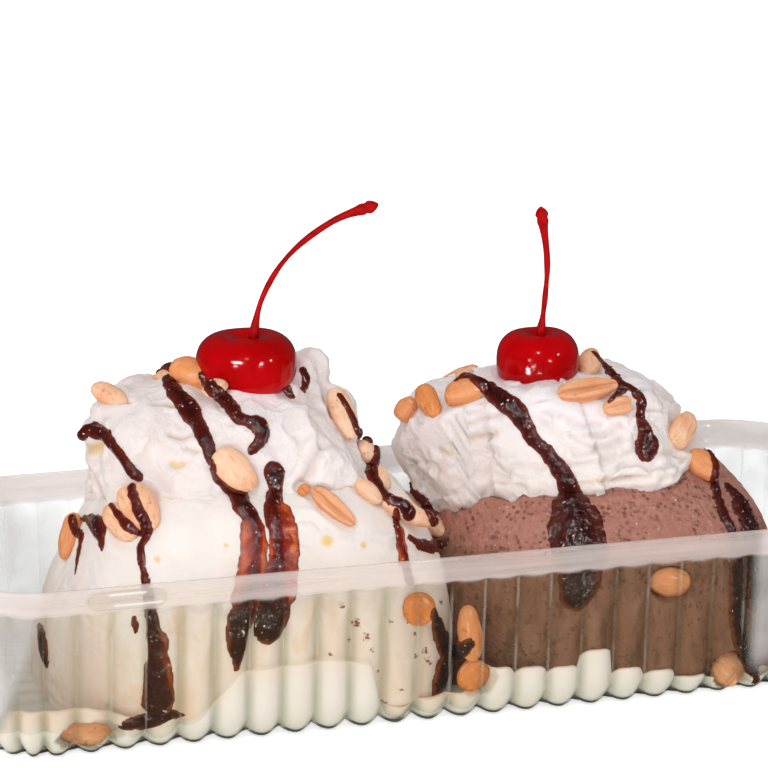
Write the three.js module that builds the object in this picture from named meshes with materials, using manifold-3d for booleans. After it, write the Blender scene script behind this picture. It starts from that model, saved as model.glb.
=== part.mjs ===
// Two-scoop sundae of the banana-split kind, in a clear fluted boat: a vanilla and a chocolate mound
// on a pool of melted ice cream, each with a whipped-cream cap, a stemmed cherry, split peanuts and
// ribbons of syrup. Millimetres and degrees; the origin is the middle of the boat's underside, +X runs
// along the boat, +Y to its back and +Z up. An azimuth is counted from +X towards +Y, and a rise is
// counted from the horizontal up.
import * as THREE from "three";
import { mergeVertices } from "three/addons/utils/BufferGeometryUtils.js";
import Module from "manifold-3d";

const wasm = await Module();
wasm.setup();

// ---------------------------------------------------------------- driving dimensions
const gap = 0.3;                 // clearance kept between neighbouring solids

const boat = {
  length: 216, width: 88, height: 40, cornerRadius: 20.5,
  draft: 5,                      // how far the foot stands in from the rim
  footRadius: 8.5, wall: 0.9,
  flutes: 74, fluteDepth: 1.7,
  bandHeight: 6.5,               // smooth band under the rim
  bandStep: 1.3,                 // how far the band stands out from the fluted wall
  bandRise: 0.9,
  lipReach: 0.9,                 // how far the rim's edge stands out from the foot of the band
  lug: { x: -72.5, width: 17, height: 4, depth: 1.1, drop: 3.1 },
};

const melt = {
  pool: 3.2,                     // depth of the pool under the scoops
  bankWidth: 3.4,                // thickness of the bank that stands against the wall
  backBank: 9,
  // height of the bank along the front wall: [x, z]
  frontBank: [[-100, 4], [-70, 4.6], [-63, 7.4], [-55, 11.6], [-47, 21], [-27, 22], [-18, 20], [-14, 5],
    [-9, 3.8], [-6, 5.6], [7, 6.4], [9, 12], [31, 10.4], [33, 14], [38, 14], [40, 9], [46, 8.6],
    [54, 6], [61, 4.2], [70, 3.4], [100, 4]],
};

// Superellipsoid bodies: centre, half sizes, exponent, depth below the centre, and swellings as
// [azimuth, rise, height, spread]. Folds turn a number of times in a quarter of the rise, and climb
// round the body.
const body = {
  vanilla: { centre: [-38, 0, 1.3], half: [46, 41, 56], power: 2.9, below: 4, grid: [24, 13],
    lumps: [[-60, 20, 1.2, 25], [150, 30, 1.5, 30], [60, 25, 1.5, 28]] },
  chocolate: { centre: [45, 0, 1.3], half: [44, 42, 54], power: 2.3, below: 4, grid: [24, 13],
    lumps: [[-30, 40, 1.0, 18], [100, 30, 1.5, 30], [-75, 48, 0.8, 12]] },
  creamLeft: { centre: [-40, -1, 50], half: [34, 31, 22], power: 2.5, below: 7, grid: [28, 16],
    lumps: [[15, 55, 3, 16], [5, 20, 2, 16], [-60, 8, 1.4, 14], [-100, 60, 1.8, 15]],
    folds: { turns: 2.5, climb: 1, depth: 1 } },
  creamRight: { centre: [34, -1, 48], half: [35, 31, 20], power: 2.3, below: 6, grid: [28, 16],
    lumps: [[-150, -12, 3, 18], [-40, 20, 1.5, 16], [60, 30, 2, 22], [-100, 60, 1.6, 15]],
    folds: { turns: 3, climb: 1, depth: 1 } },
};

const cherry = {
  left: { centre: [-36.1, -3, 75.2], radius: 11.1, height: 15, dimple: 2.6,
    stem: [[-34.6, 79], [-31.6, 90], [-25, 98.6], [-15.6, 105.3], [-6.1, 109]] },
  right: { centre: [31.6, -2, 70.6], radius: 9.3, height: 15, dimple: 2.2,
    stem: [[31.8, 75], [33, 85], [33.4, 94], [31.8, 106]] },
  stemRadius: 0.62, knobRadius: 1.35,
};

// Peanuts: on which body, azimuth, rise, turn of the long axis in the surface (anticlockwise, seen
// from outside), [length, width, thickness], and how far the middle is lifted. Those "at" the wall
// stand behind the front wall at a given x and z.
const halfNut = [12.3, 8, 4.6];
const smallNut = [7.5, 6, 5];
const peanuts = [
  { on: "creamLeft", azimuth: 173, rise: 34, turn: -40, size: halfNut, lift: 0.8 },
  { on: "creamLeft", azimuth: -177, rise: 67, turn: -25, size: [10.8, 8.6, 5.6], lift: 0.8 },
  { on: "creamLeft", azimuth: -116, rise: 60, turn: -60, size: [6.4, 5.2, 4], lift: 0.6 },
  { on: "creamLeft", azimuth: -101, rise: 18, turn: -50, size: halfNut },
  { on: "creamLeft", azimuth: -138, rise: 1, turn: -60, size: halfNut, lift: 0.6 },
  { on: "creamLeft", azimuth: -147, rise: -7, turn: -60, size: [10.4, 7, 4.4], lift: 0.6 },
  { on: "vanilla", azimuth: -169, rise: 44, turn: 80, size: [10.5, 7, 4.6], lift: 0.4 },
  { on: "creamLeft", azimuth: -62, rise: 0, turn: -40, size: [12.6, 4.6, 3.6], lift: -0.4 },
  { on: "creamLeft", azimuth: -74, rise: 7, turn: -70, size: [4.6, 3.4, 3], lift: -0.2 },
  { on: "creamLeft", azimuth: -32, rise: 31, turn: -58, size: [13.5, 7, 4], lift: 0.7 },
  { on: "creamLeft", azimuth: -43, rise: 15, turn: -50, size: [7.4, 6, 4.4] },
  { on: "creamLeft", azimuth: -31, rise: 2, turn: -70, size: [7, 5, 4] },
  { on: "creamLeft", azimuth: -46, rise: 1, turn: -35, size: [7.6, 4.6, 4] },
  { on: "creamRight", azimuth: -159, rise: -9, turn: -33, size: [14, 7, 4.6], lift: 1.4 },
  { on: "creamRight", azimuth: -172, rise: -4, turn: -62, size: [9.4, 6, 4.4], lift: 0.6 },
  { at: "wall", x: -80.5, z: 5, turn: -12, size: [12, 6.6, 5] },
  { at: "wall", x: -6.3, z: 26.4, turn: -50, size: [7.8, 7, 5] },
  { at: "wall", x: 5.4, z: 19.4, turn: 96, size: [13, 5.6, 4.4] },
  { at: "wall", x: 5.4, z: 10.4, turn: 35, size: [8.6, 7, 5] },
  { at: "wall", x: 51.2, z: 27.4, turn: -10, size: [10, 7, 5.2] },
  { at: "wall", x: 65.4, z: 6.6, turn: -50, size: [9.4, 8, 6.4] },
  { on: "creamRight", azimuth: 173, rise: 20, turn: 60, size: smallNut, lift: 0.6 },
  { on: "creamRight", azimuth: -177, rise: 28, turn: 75, size: [7.6, 6, 5], lift: 0.8 },
  { on: "creamRight", azimuth: -167, rise: 38, turn: 5, size: [10.6, 7.4, 4.8], lift: 0.6 },
  { on: "creamRight", azimuth: 152, rise: 48, turn: 20, size: [9, 5, 3.4] },
  { on: "creamRight", azimuth: 2, rise: 62, turn: 60, size: [8.6, 7, 4.8], lift: 1 },
  { on: "creamRight", azimuth: -78, rise: 47, turn: 8, size: [13, 7.6, 5], lift: 0.8 },
  { on: "creamRight", azimuth: -61, rise: 35, turn: 18, size: [10.4, 5, 3.8] },
  { on: "creamRight", azimuth: -45, rise: 17, turn: 80, size: [9.6, 7.4, 4.4], lift: 0.5 },
  { on: "creamRight", azimuth: -27, rise: -2, turn: -35, size: [9, 7.6, 4.4], lift: 1 },
  { on: "creamLeft", azimuth: 120, rise: 48, turn: 30, size: halfNut },
  { on: "creamLeft", azimuth: 85, rise: 26, turn: -35, size: [11.6, 7.4, 4.6] },
  { on: "creamLeft", azimuth: 55, rise: 6, turn: 65, size: smallNut },
  { on: "vanilla", azimuth: 120, rise: 44, turn: 10, size: halfNut },
  { on: "creamRight", azimuth: 120, rise: 24, turn: -20, size: halfNut },
  { on: "creamRight", azimuth: 78, rise: 42, turn: 50, size: [11, 7, 4.6] },
  { on: "creamRight", azimuth: 50, rise: 10, turn: -60, size: smallNut },
  { on: "chocolate", azimuth: 85, rise: 42, turn: 25, size: halfNut },
];

// Ribbons of syrup: the body they run over, their width, and their way as [azimuth, rise]. Each ends
// in a rounded drop.
const syrup = {
  proud: 0.6,                    // share of the ribbon's half width that stands out of the surface
  ribbons: [
    { on: "creamLeft", width: 4.6, way: [[-152, 56], [-137, 51], [-118, 34], [-109, 22], [-101, 9], [-95, -4]] },
    { on: "creamLeft", width: 5, way: [[-85, 15], [-86, 6], [-87, -5]] },
    { on: "creamLeft", width: 4.6, way: [[-128, 66], [-108, 51], [-97, 41], [-85, 35], [-93, 25]] },
    { on: "creamLeft", width: 4.6, way: [[173, 19], [-157, 23], [-145, 16], [-138, 11]] },
    { on: "creamLeft", width: 4.6, way: [[-10, 32], [-30, 23], [-42, 15], [-36, 3]] },
    { on: "vanilla", width: 6.6, way: [[-96, 53], [-95, 47], [-97, 38], [-102, 30], [-104, 23]] },
    { on: "vanilla", width: 7.4, way: [[-88, 56], [-90, 50], [-91, 41], [-91, 32]] },
    { on: "vanilla", width: 4.6, way: [[-136, 49], [-132, 43], [-130, 32], [-127, 21], [-126, 10]] },
    { on: "vanilla", width: 4.6, way: [[-153, 53], [-158, 47], [-159, 38]] },
    { on: "vanilla", width: 4.4, way: [[-40, 50], [-45, 42], [-46, 32], [-42, 20], [-34, 9]] },
    { on: "creamRight", width: 5, way: [[-176, 52], [-156, 48], [-132, 40], [-119, 27], [-108, 15], [-102, -2]] },
    { on: "creamRight", width: 4.6, way: [[-2, 54], [-38, 46], [-47, 34], [-56, 23], [-64, 16]] },
    { on: "creamRight", width: 4.2, way: [[174, 12], [178, 3], [-174, -3]] },
    { on: "chocolate", width: 10, way: [[-117, 55], [-113, 46], [-112, 32]] },
    { on: "chocolate", width: 4.4, way: [[-38, 56], [-47, 50], [-51, 39], [-55, 25], [-56, 8]] },
    { on: "creamLeft", width: 4.6, way: [[128, 58], [112, 38], [100, 16], [96, -2]] },
    { on: "vanilla", width: 5, way: [[96, 50], [98, 36], [97, 26]] },
    { on: "creamRight", width: 4.6, way: [[95, 58], [80, 36], [72, 14], [68, -3]] },
    { on: "chocolate", width: 5, way: [[70, 52], [70, 38], [72, 26]] },
  ],
};

const colour = {
  boat: 0xdfe6e2, melt: 0xf3f1e6, vanilla: 0xf4e9dc, chocolate: 0x8d6457, cream: 0xf7f2ec,
  cherry: 0xa80c18, peanut: 0xe2a366,
};

// ---------------------------------------------------------------- small helpers
const radians = THREE.MathUtils.degToRad;

function direction(azimuth, rise) {
  const flat = Math.cos(radians(rise));
  return new THREE.Vector3(flat * Math.cos(radians(azimuth)), flat * Math.sin(radians(azimuth)),
    Math.sin(radians(rise)));
}

// value of a broken line given as [[position, value], ...]
function follow(line, position) {
  const last = line.findIndex(([p]) => p >= position);
  if (last === 0) return line[0][1];
  if (last < 0) return line[line.length - 1][1];
  const [p0, v0] = line[last - 1];
  const [p1, v1] = line[last];
  return v0 + ((v1 - v0) * (position - p0)) / (p1 - p0);
}

function moveVertices(geometry, place) {
  const positions = geometry.attributes.position;
  const point = new THREE.Vector3();
  for (let i = 0; i < positions.count; i += 1) {
    place(point.fromBufferAttribute(positions, i), i);
    positions.setXYZ(i, point.x, point.y, point.z);
  }
  return geometry;
}

function toSolid(geometry) {
  const bare = geometry.clone();
  bare.deleteAttribute("normal");
  bare.deleteAttribute("uv");
  const merged = mergeVertices(bare, 1e-4);
  const solid = new wasm.Manifold(new wasm.Mesh({
    numProp: 3,
    vertProperties: new Float32Array(merged.attributes.position.array),
    triVerts: new Uint32Array(merged.index.array),
  }));
  return solid.volume() < 0 ? turnedOut(merged) : solid;
}

function turnedOut(merged) {
  const triangles = new Uint32Array(merged.index.array);
  for (let i = 0; i < triangles.length; i += 3) {
    [triangles[i + 1], triangles[i + 2]] = [triangles[i + 2], triangles[i + 1]];
  }
  return new wasm.Manifold(new wasm.Mesh({
    numProp: 3, vertProperties: new Float32Array(merged.attributes.position.array), triVerts: triangles,
  }));
}

function toGeometry(solid) {
  const mesh = solid.getMesh();
  const geometry = new THREE.BufferGeometry();
  geometry.setAttribute("position", new THREE.Float32BufferAttribute(mesh.vertProperties, mesh.numProp));
  geometry.setIndex(new THREE.Uint32BufferAttribute(mesh.triVerts, 1));
  return geometry;
}

// the largest piece of a solid, without the scraps that cutting leaves
function largest(solid) {
  return solid.decompose().reduce((best, piece) => (piece.volume() > best.volume() ? piece : best));
}

// ---------------------------------------------------------------- the boat
const core = { x: boat.length / 2 - boat.cornerRadius, y: boat.width / 2 - boat.cornerRadius };

// Point of the core rectangle and outward direction, a share of the way round from the front middle.
// The boat's outline at any height is this rectangle grown by a radius.
function roundTheCore(share) {
  const arc = (Math.PI / 2) * (boat.cornerRadius - boat.draft / 2);
  const legs = [core.x, arc, 2 * core.y, arc, 2 * core.x, arc, 2 * core.y, arc, core.x];
  const starts = [[0, -1, 1, 0], [1, -1], [1, -1, 0, 1], [1, 1], [1, 1, -1, 0], [-1, 1], [-1, 1, 0, -1],
    [-1, -1], [-1, -1, 1, 0]];
  let left = (share - Math.floor(share)) * legs.reduce((sum, leg) => sum + leg, 0);
  let k = 0;
  while (left > legs[k] && k < legs.length - 1) {
    left -= legs[k];
    k += 1;
  }
  const [sideX, sideY, alongX = 0, alongY = 0] = starts[k];
  const quarter = Math.ceil(k / 2) - 1;
  const heading = k % 2 === 0 ? (k / 2) * 90 - 90 : quarter * 90 - 90 + (90 * left) / arc;
  const outward = direction(heading, 0);
  return {
    x: sideX * core.x + alongX * left, y: sideY * core.y + alongY * left, outward,
  };
}

const wallInset = (z) => boat.bandStep + (boat.draft - boat.bandStep) * (1 - z / boat.height);

// Section of one skin of the boat from the middle of its floor to the rim, as [radius, z, flute share]
function skin(inset) {
  const { cornerRadius, footRadius, height, bandHeight, bandRise, lipReach, wall } = boat;
  const arc = footRadius - inset;
  const bandFoot = height - bandHeight;
  const atFoot = cornerRadius - wallInset(0) - footRadius;
  const floorZ = inset === 0 ? 0 : wall;
  return [
    [0, floorZ, 0],
    [atFoot, floorZ, 0.6],
    [atFoot + arc * Math.SQRT1_2, footRadius - arc * Math.SQRT1_2, 1],
    [cornerRadius - wallInset(footRadius) - inset, footRadius, 1],
    [cornerRadius - wallInset(bandFoot) - inset, bandFoot, 1],
    [cornerRadius - lipReach - inset, bandFoot + bandRise, 0],
    [cornerRadius - inset, height, 0],
  ];
}

function flutedBoat() {
  const section = [...skin(0), ...skin(boat.wall).reverse()];
  const steps = boat.flutes * 2;           // a groove and a crest for each flute
  const profile = section.map(([radius, z]) => new THREE.Vector2(radius, z));
  const lathe = new THREE.LatheGeometry(profile, steps);
  const flat = boat.cornerRadius - wallInset(0) - boat.footRadius;
  return moveVertices(lathe, (point, i) => {
    const step = Math.floor(i / section.length) % steps;
    const [radius, z, fluted] = section[i % section.length];
    const sag = step % 2 === 0 ? boat.fluteDepth * fluted : 0;
    const { x, y, outward } = roundTheCore(step / steps);
    const spread = Math.min(1, radius / flat);
    point.set(x * spread + outward.x * Math.max(0, radius - sag),
      y * spread + outward.y * Math.max(0, radius - sag), z);
  });
}

function boatSolid() {
  const { lug, width, height } = boat;
  const tab = new THREE.BoxGeometry(lug.width, lug.depth, lug.height);
  tab.translate(lug.x, (lug.depth - width) / 2, height - lug.drop);
  return toSolid(flutedBoat()).add(toSolid(tab));
}

// Radius of the smooth space that the contents may fill at a height, inside the grooves.
function roomRadius(z, clear) {
  const line = skin(boat.wall).slice(1).map(([radius, height]) => [height, radius]);
  return follow(line, z) - boat.fluteDepth - clear;
}

// A body that fills the boat from wall to wall. rows(x, y) lists its section as [inset, z] from the
// middle of its underside, out and up the wall, and back to the middle.
function filling(segments, clear, rows) {
  const count = rows(0, 0).length;
  const lathe = new THREE.LatheGeometry(
    Array.from({ length: count }, (_, k) => new THREE.Vector2(k === 0 || k === count - 1 ? 0 : 1 + k, k)),
    segments,
  );
  return moveVertices(lathe, (point, i) => {
    const k = i % count;
    const { x, y, outward } = roundTheCore((Math.floor(i / count) % segments) / segments);
    const [inset, z] = rows(x + outward.x * boat.cornerRadius, y + outward.y * boat.cornerRadius)[k];
    if (k === 0 || k === count - 1) {
      point.set(0, 0, z);
      return;
    }
    const radius = Math.max(roomRadius(z, clear) - inset, 0.5);
    point.set(x + outward.x * radius, y + outward.y * radius, z);
  });
}

const floorLevel = boat.wall + gap;
const wallClearance = 0.8;
const kneeLevel = 3.4;           // where the foot's rounding is steep enough to count as wall

function room() {
  const heights = [floorLevel, kneeLevel, boat.footRadius, boat.height - boat.bandHeight, boat.height + 40];
  const rows = [[0, floorLevel], ...heights.map((z) => [0, z]), [0, heights[4]]];
  return filling(36, wallClearance, () => rows);
}

function meltBody(grow) {
  const { pool, bankWidth, frontBank, backBank } = melt;
  return filling(48, wallClearance - (grow ? gap : 0), (x, y) => {
    const top = (y < 0 ? follow(frontBank, x) : backBank + 1.5 * Math.sin(x / 13)) + grow;
    const low = pool + grow;
    const floor = floorLevel - grow;
    return [
      [0, floor], [0, floor], [0, Math.min(top, kneeLevel)], [0, Math.min(top, boat.footRadius)], [0, top],
      [bankWidth + 2 * grow, Math.max(low, 0.92 * top)], [bankWidth + 2.5 + 2 * grow, low], [0, low],
    ];
  });
}

// ---------------------------------------------------------------- scoops and cream
function reach(spec, way) {
  const depth = way.z < 0 ? spec.below : spec.half[2];
  const sum = Math.abs(way.x / spec.half[0]) ** spec.power + Math.abs(way.y / spec.half[1]) ** spec.power
    + Math.abs(way.z / depth) ** spec.power;
  let distance = sum ** (-1 / spec.power);
  for (const [azimuth, rise, height, spread] of spec.lumps) {
    const away = THREE.MathUtils.radToDeg(direction(azimuth, rise).angleTo(way));
    distance += height * Math.exp(-((away / spread) ** 2));
  }
  if (spec.folds) {
    const { turns, climb, depth: fold } = spec.folds;
    const rise = Math.asin(THREE.MathUtils.clamp(way.z, -1, 1));
    const azimuth = Math.atan2(way.y, way.x);
    distance += fold * Math.cos(rise) * Math.sin(4 * turns * rise + climb * azimuth);
  }
  return distance;
}

function mound(spec, grow = 0) {
  const centre = new THREE.Vector3(...spec.centre);
  const sphere = new THREE.SphereGeometry(1, ...spec.grid);
  sphere.rotateX(Math.PI / 2);
  return toSolid(moveVertices(sphere, (point) => {
    point.normalize();
    point.multiplyScalar(reach(spec, point) + grow).add(centre);
  }));
}

function onSurface(spec, azimuth, rise, lift) {
  const way = direction(azimuth, rise);
  return way.clone().multiplyScalar(reach(spec, way) + lift).add(new THREE.Vector3(...spec.centre));
}

// ---------------------------------------------------------------- syrup
function ribbon({ on, width, way }, grow = 0) {
  const radius = width / 2;
  const sunk = -radius * (1 - syrup.proud);
  const points = way.map(([azimuth, rise]) => onSurface(body[on], azimuth, rise, sunk));
  const path = new THREE.CatmullRomCurve3(points, false, "centripetal");
  const round = new THREE.Shape();
  round.absarc(0, 0, radius + grow, 0, 2 * Math.PI);
  const tube = new THREE.ExtrudeGeometry(round, {
    steps: points.length, curveSegments: 3, bevelEnabled: false, extrudePath: path,
  });
  const drop = new THREE.SphereGeometry(radius * 1.2 + grow, 6, 4);
  drop.translate(...points[points.length - 1]);
  return toSolid(tube).add(toSolid(drop));
}

const ribbonsOn = (name, grow = 0) => syrup.ribbons.filter(({ on }) => on === name)
  .map((spec) => ribbon(spec, grow));

// ---------------------------------------------------------------- nuts and cherries
function peanut(spec, grow = 0) {
  const [length, width, thickness] = spec.size;
  const nut = new THREE.SphereGeometry(1, 8, 4);
  moveVertices(nut, (point) => {
    const along = point.y;                 // the sphere's poles are the nut's ends
    const slim = 1 - 0.18 * along;
    const face = point.z > 0 ? 0.55 : 1;   // the side that faces out is the flatter one
    point.set(along * (length / 2 + grow), point.x * (width / 2 + grow) * slim,
      point.z * (thickness / 2 + grow) * slim * face);
  });
  return toSolid(nut.applyMatrix4(nutPlace(spec)));
}

function nutPlace(spec) {
  let out;
  let middle;
  if (spec.at === "wall") {
    out = new THREE.Vector3(0, -1, 0);
    const back = core.y + roomRadius(spec.z, wallClearance) - spec.size[2] * 0.3;
    middle = new THREE.Vector3(spec.x, -back, spec.z);
  } else {
    const mother = body[spec.on];
    out = slope(mother, spec.azimuth, spec.rise);
    middle = onSurface(mother, spec.azimuth, spec.rise, 0).addScaledVector(out, spec.lift ?? 0);
  }
  const side = new THREE.Vector3(0, 0, 1).cross(out).normalize();
  const up = out.clone().cross(side);
  const turn = radians(spec.turn);
  const long = side.clone().multiplyScalar(Math.cos(turn)).addScaledVector(up, Math.sin(turn));
  return new THREE.Matrix4().makeBasis(long, out.clone().cross(long), out).setPosition(middle);
}

// outward normal of a body's surface
function slope(mother, azimuth, rise) {
  const step = 1.5;
  const east = onSurface(mother, azimuth + step, rise, 0).sub(onSurface(mother, azimuth - step, rise, 0));
  const north = onSurface(mother, azimuth, rise + step, 0).sub(onSurface(mother, azimuth, rise - step, 0));
  return east.cross(north).normalize();
}

function cherryFruit({ centre, radius, height, dimple }, grow = 0) {
  const sphere = new THREE.SphereGeometry(1, 14, 8);
  sphere.rotateX(Math.PI / 2);
  moveVertices(sphere, (point) => {
    const flat = Math.hypot(point.x, point.y);
    const hollow = point.z > 0 ? dimple * Math.exp(-((flat / 0.32) ** 2)) : 0;
    const full = 1 + 0.06 * Math.sin(3 * Math.atan2(point.y, point.x)) * flat * 0.4;
    point.set(point.x * (radius + grow) * full, point.y * (radius + grow) * full,
      point.z * (height / 2 + grow) - hollow);
    point.add(new THREE.Vector3(...centre));
  });
  return toSolid(sphere);
}

function cherryStem({ centre, stem }) {
  const path = new THREE.CatmullRomCurve3(stem.map(([x, z]) => new THREE.Vector3(x, centre[1], z)));
  const round = new THREE.Shape();
  round.absarc(0, 0, cherry.stemRadius, 0, 2 * Math.PI);
  const stalk = new THREE.ExtrudeGeometry(round, {
    steps: 10, curveSegments: 3, bevelEnabled: false, extrudePath: path,
  });
  const knob = new THREE.SphereGeometry(cherry.knobRadius, 6, 4);
  const [tipX, tipZ] = stem[stem.length - 1];
  knob.scale(1.3, 0.9, 0.8).translate(tipX, centre[1], tipZ);
  return toSolid(stalk).add(toSolid(knob));
}

// ---------------------------------------------------------------- assembly
function finish(name, solid, hue, roughness, opacity = 1) {
  const material = new THREE.MeshStandardMaterial({
    color: hue, roughness, metalness: 0, opacity, transparent: opacity < 1,
  });
  const mesh = new THREE.Mesh(toGeometry(largest(solid)), material);
  mesh.name = name;
  return mesh;
}

const cut = (solid, tools) => tools.reduce((rest, tool) => rest.subtract(tool), solid);

const roomSolid = toSolid(room());
const meltGrown = toSolid(meltBody(gap + 0.1));
const nutsGrown = peanuts.map((spec) => peanut(spec, gap + 0.05));
const cherriesGrown = [cherry.left, cherry.right].map((spec) => cherryFruit(spec, gap + 0.05));
const grown = (name) => mound(body[name], gap + 0.1);

// A body with its ribbons of syrup, which keep clear of the neighbours named and of their syrup.
function dressed(name, neighbours) {
  const tools = neighbours.flatMap((other) => [grown(other), ...ribbonsOn(other, gap)]);
  return ribbonsOn(name).reduce((whole, strip) => whole.add(cut(strip, tools)), mound(body[name]));
}

const sundae = new THREE.Group();
sundae.add(finish("boat", boatSolid(), colour.boat, 0.12, 0.35));
sundae.add(finish("melted_ice_cream", cut(toSolid(meltBody(0)), nutsGrown), colour.melt, 0.4));

const vanilla = dressed("vanilla", ["creamLeft", "creamRight", "chocolate"]).intersect(roomSolid);
sundae.add(finish("vanilla_scoop", cut(vanilla, [meltGrown, ...nutsGrown]), colour.vanilla, 0.6));

const chocolate = dressed("chocolate", ["creamLeft", "creamRight", "vanilla"]).intersect(roomSolid);
sundae.add(finish("chocolate_scoop", cut(chocolate, [meltGrown, grown("vanilla"), ...nutsGrown]),
  colour.chocolate, 0.65));

const scoops = [grown("vanilla"), grown("chocolate")];
const creamLeft = cut(dressed("creamLeft", ["creamRight"]), [...scoops, ...nutsGrown, ...cherriesGrown]);
sundae.add(finish("whipped_cream_left", creamLeft, colour.cream, 0.55));

const creamRight = cut(dressed("creamRight", ["creamLeft"]),
  [...scoops, grown("creamLeft"), ...nutsGrown, ...cherriesGrown]);
sundae.add(finish("whipped_cream_right", creamRight, colour.cream, 0.55));

for (const side of ["left", "right"]) {
  const whole = cherryFruit(cherry[side]).add(cherryStem(cherry[side]));
  sundae.add(finish(`cherry_${side}`, whole, colour.cherry, 0.15));
}

peanuts.forEach((spec, k) => {
  const clear = cut(peanut(spec), [...nutsGrown.slice(0, k), ...cherriesGrown]);
  const whole = spec.at === "wall" ? clear.intersect(roomSolid) : clear;
  sundae.add(finish(`peanut_${String(k + 1).padStart(2, "0")}`, whole, colour.peanut, 0.5));
});

export default sundae;
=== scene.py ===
import math

import bpy
import numpy as np
from mathutils import Matrix, Vector
from mathutils.bvhtree import BVHTree


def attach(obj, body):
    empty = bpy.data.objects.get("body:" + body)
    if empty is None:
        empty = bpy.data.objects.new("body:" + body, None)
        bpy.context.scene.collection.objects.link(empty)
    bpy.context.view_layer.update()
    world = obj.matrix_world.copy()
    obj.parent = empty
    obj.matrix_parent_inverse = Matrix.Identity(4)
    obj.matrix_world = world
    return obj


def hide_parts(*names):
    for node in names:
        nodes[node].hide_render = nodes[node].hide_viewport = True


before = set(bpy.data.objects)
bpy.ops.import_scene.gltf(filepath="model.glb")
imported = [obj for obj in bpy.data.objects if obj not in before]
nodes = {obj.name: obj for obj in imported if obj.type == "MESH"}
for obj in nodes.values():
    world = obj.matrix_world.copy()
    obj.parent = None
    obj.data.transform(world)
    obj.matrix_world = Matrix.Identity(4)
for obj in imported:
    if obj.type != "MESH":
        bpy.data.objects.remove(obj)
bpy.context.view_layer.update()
mm = 0.001
print("frame loaded,", len(nodes), "nodes")

# The camera comes first, because routes are aimed with it.
view = {"azimuth": -16, "elevation": 15.3, "target": (-3.9, 0, 67.3), "distance": 900, "lens": 189.2,
        "sensor": 36, "pixels": 768}


def makeCamera():
    turn, lift = math.radians(view["azimuth"]), math.radians(view["elevation"])
    back = Vector((math.sin(turn) * math.cos(lift), -math.cos(turn) * math.cos(lift), math.sin(lift)))
    data = bpy.data.cameras.new("camera")
    data.lens = view["lens"]
    data.sensor_width = view["sensor"]
    data.clip_start, data.clip_end = 0.05, 20
    cameraObject = bpy.data.objects.new("camera", data)
    bpy.context.scene.collection.objects.link(cameraObject)
    cameraObject.rotation_mode = "QUATERNION"
    cameraObject.rotation_quaternion = (-back).to_track_quat("-Z", "Y")
    cameraObject.location = (Vector(view["target"]) + back * view["distance"]) * mm
    bpy.context.scene.camera = cameraObject
    return cameraObject


camera = makeCamera()
bpy.context.view_layer.update()


# ray through a point of the 768 by 768 picture, as origin and direction
def sightLine(x, y):
    half, width = view["pixels"] / 2, view["sensor"]
    away = Vector(((x - half) / half * width / 2, (half - y) / half * width / 2, -view["lens"]))
    return camera.location.copy(), (camera.rotation_quaternion @ away).normalized()


# Small helpers.
def smoothStep(value, low, high):
    share = np.clip((value - low) / (high - low), 0, 1)
    return share * share * (3 - 2 * share)


def direction(azimuth, rise):
    azimuth, rise = np.radians(azimuth), np.radians(rise)
    return np.stack([np.cos(rise) * np.cos(azimuth), np.cos(rise) * np.sin(azimuth), np.sin(rise)], -1)


# Evenly spaced points of a Catmull-Rom curve through a list of points.
def smoothLine(points, count):
    points = np.asarray(points, float)
    padded = np.concatenate([[2 * points[0] - points[1]], points, [2 * points[-1] - points[-2]]])
    at = np.linspace(0, len(points) - 1, count)
    k = np.minimum(at.astype(int), len(points) - 2)
    t = (at - k)[:, None]
    a, b, c, d = (padded[k + n] for n in range(4))
    square, cube = 2 * a - 5 * b + 4 * c - d, 3 * b - a - 3 * c + d
    return 0.5 * (2 * b + (c - a) * t + square * t ** 2 + cube * t ** 3)


# Makes a mesh object from points in millimetres. Extra values per point go in as attributes.
def meshObject(name, points, faces, **attributes):
    mesh = bpy.data.meshes.new(name)
    mesh.from_pydata((np.asarray(points) * mm).tolist(), [], [tuple(map(int, face)) for face in faces])
    mesh.polygons.foreach_set("use_smooth", [True] * len(mesh.polygons))
    for key, values in attributes.items():
        values = np.asarray(values, np.float32)
        kind, field = ("FLOAT_VECTOR", "vector") if values.ndim == 2 else ("FLOAT", "value")
        mesh.attributes.new(key, kind, "POINT").data.foreach_set(field, values.ravel())
    made = bpy.data.objects.new(name, mesh)
    bpy.context.scene.collection.objects.link(made)
    return made


# Faces of a grid of rows by columns that closes round its columns.
def wrappedFaces(rows, columns):
    row, column = np.meshgrid(np.arange(rows - 1), np.arange(columns), indexing="ij")
    after = (column + 1) % columns
    quad = np.stack([row * columns + column, row * columns + after, (row + 1) * columns + after,
                     (row + 1) * columns + column], -1)
    return quad.reshape(-1, 4).tolist()


def capFaces(centre, ring, flip=False):
    pairs = [(ring[k], ring[(k + 1) % len(ring)]) for k in range(len(ring))]
    return [(centre, b, a) if flip else (centre, a, b) for a, b in pairs]


# Faces of a grid that a fan closes at both ends, round the two points that follow it.
def closedFaces(rows, columns):
    count = rows * columns
    first, last = range(columns), range(count - columns, count)
    return wrappedFaces(rows, columns) + capFaces(count, first, True) + capFaces(count + 1, last)


def checkOutward(piece):
    mesh = piece.data
    mesh.calc_loop_triangles()
    corners = np.array([v.co for v in mesh.vertices])[np.array([t.vertices for t in mesh.loop_triangles])]
    volume = np.einsum("ij,ij->i", corners[:, 0], np.cross(corners[:, 1], corners[:, 2])).sum()
    if volume < 0:
        mesh.flip_normals()


# Node trees.
def wire(tree, kind, inputs=None, **settings):
    node = tree.nodes.new(kind)
    for key, value in settings.items():
        setattr(node, key, value)
    for key, value in (inputs or {}).items():
        if isinstance(value, bpy.types.NodeSocket):
            tree.links.new(value, node.inputs[key])
        else:
            node.inputs[key].default_value = value
    return node


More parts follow.
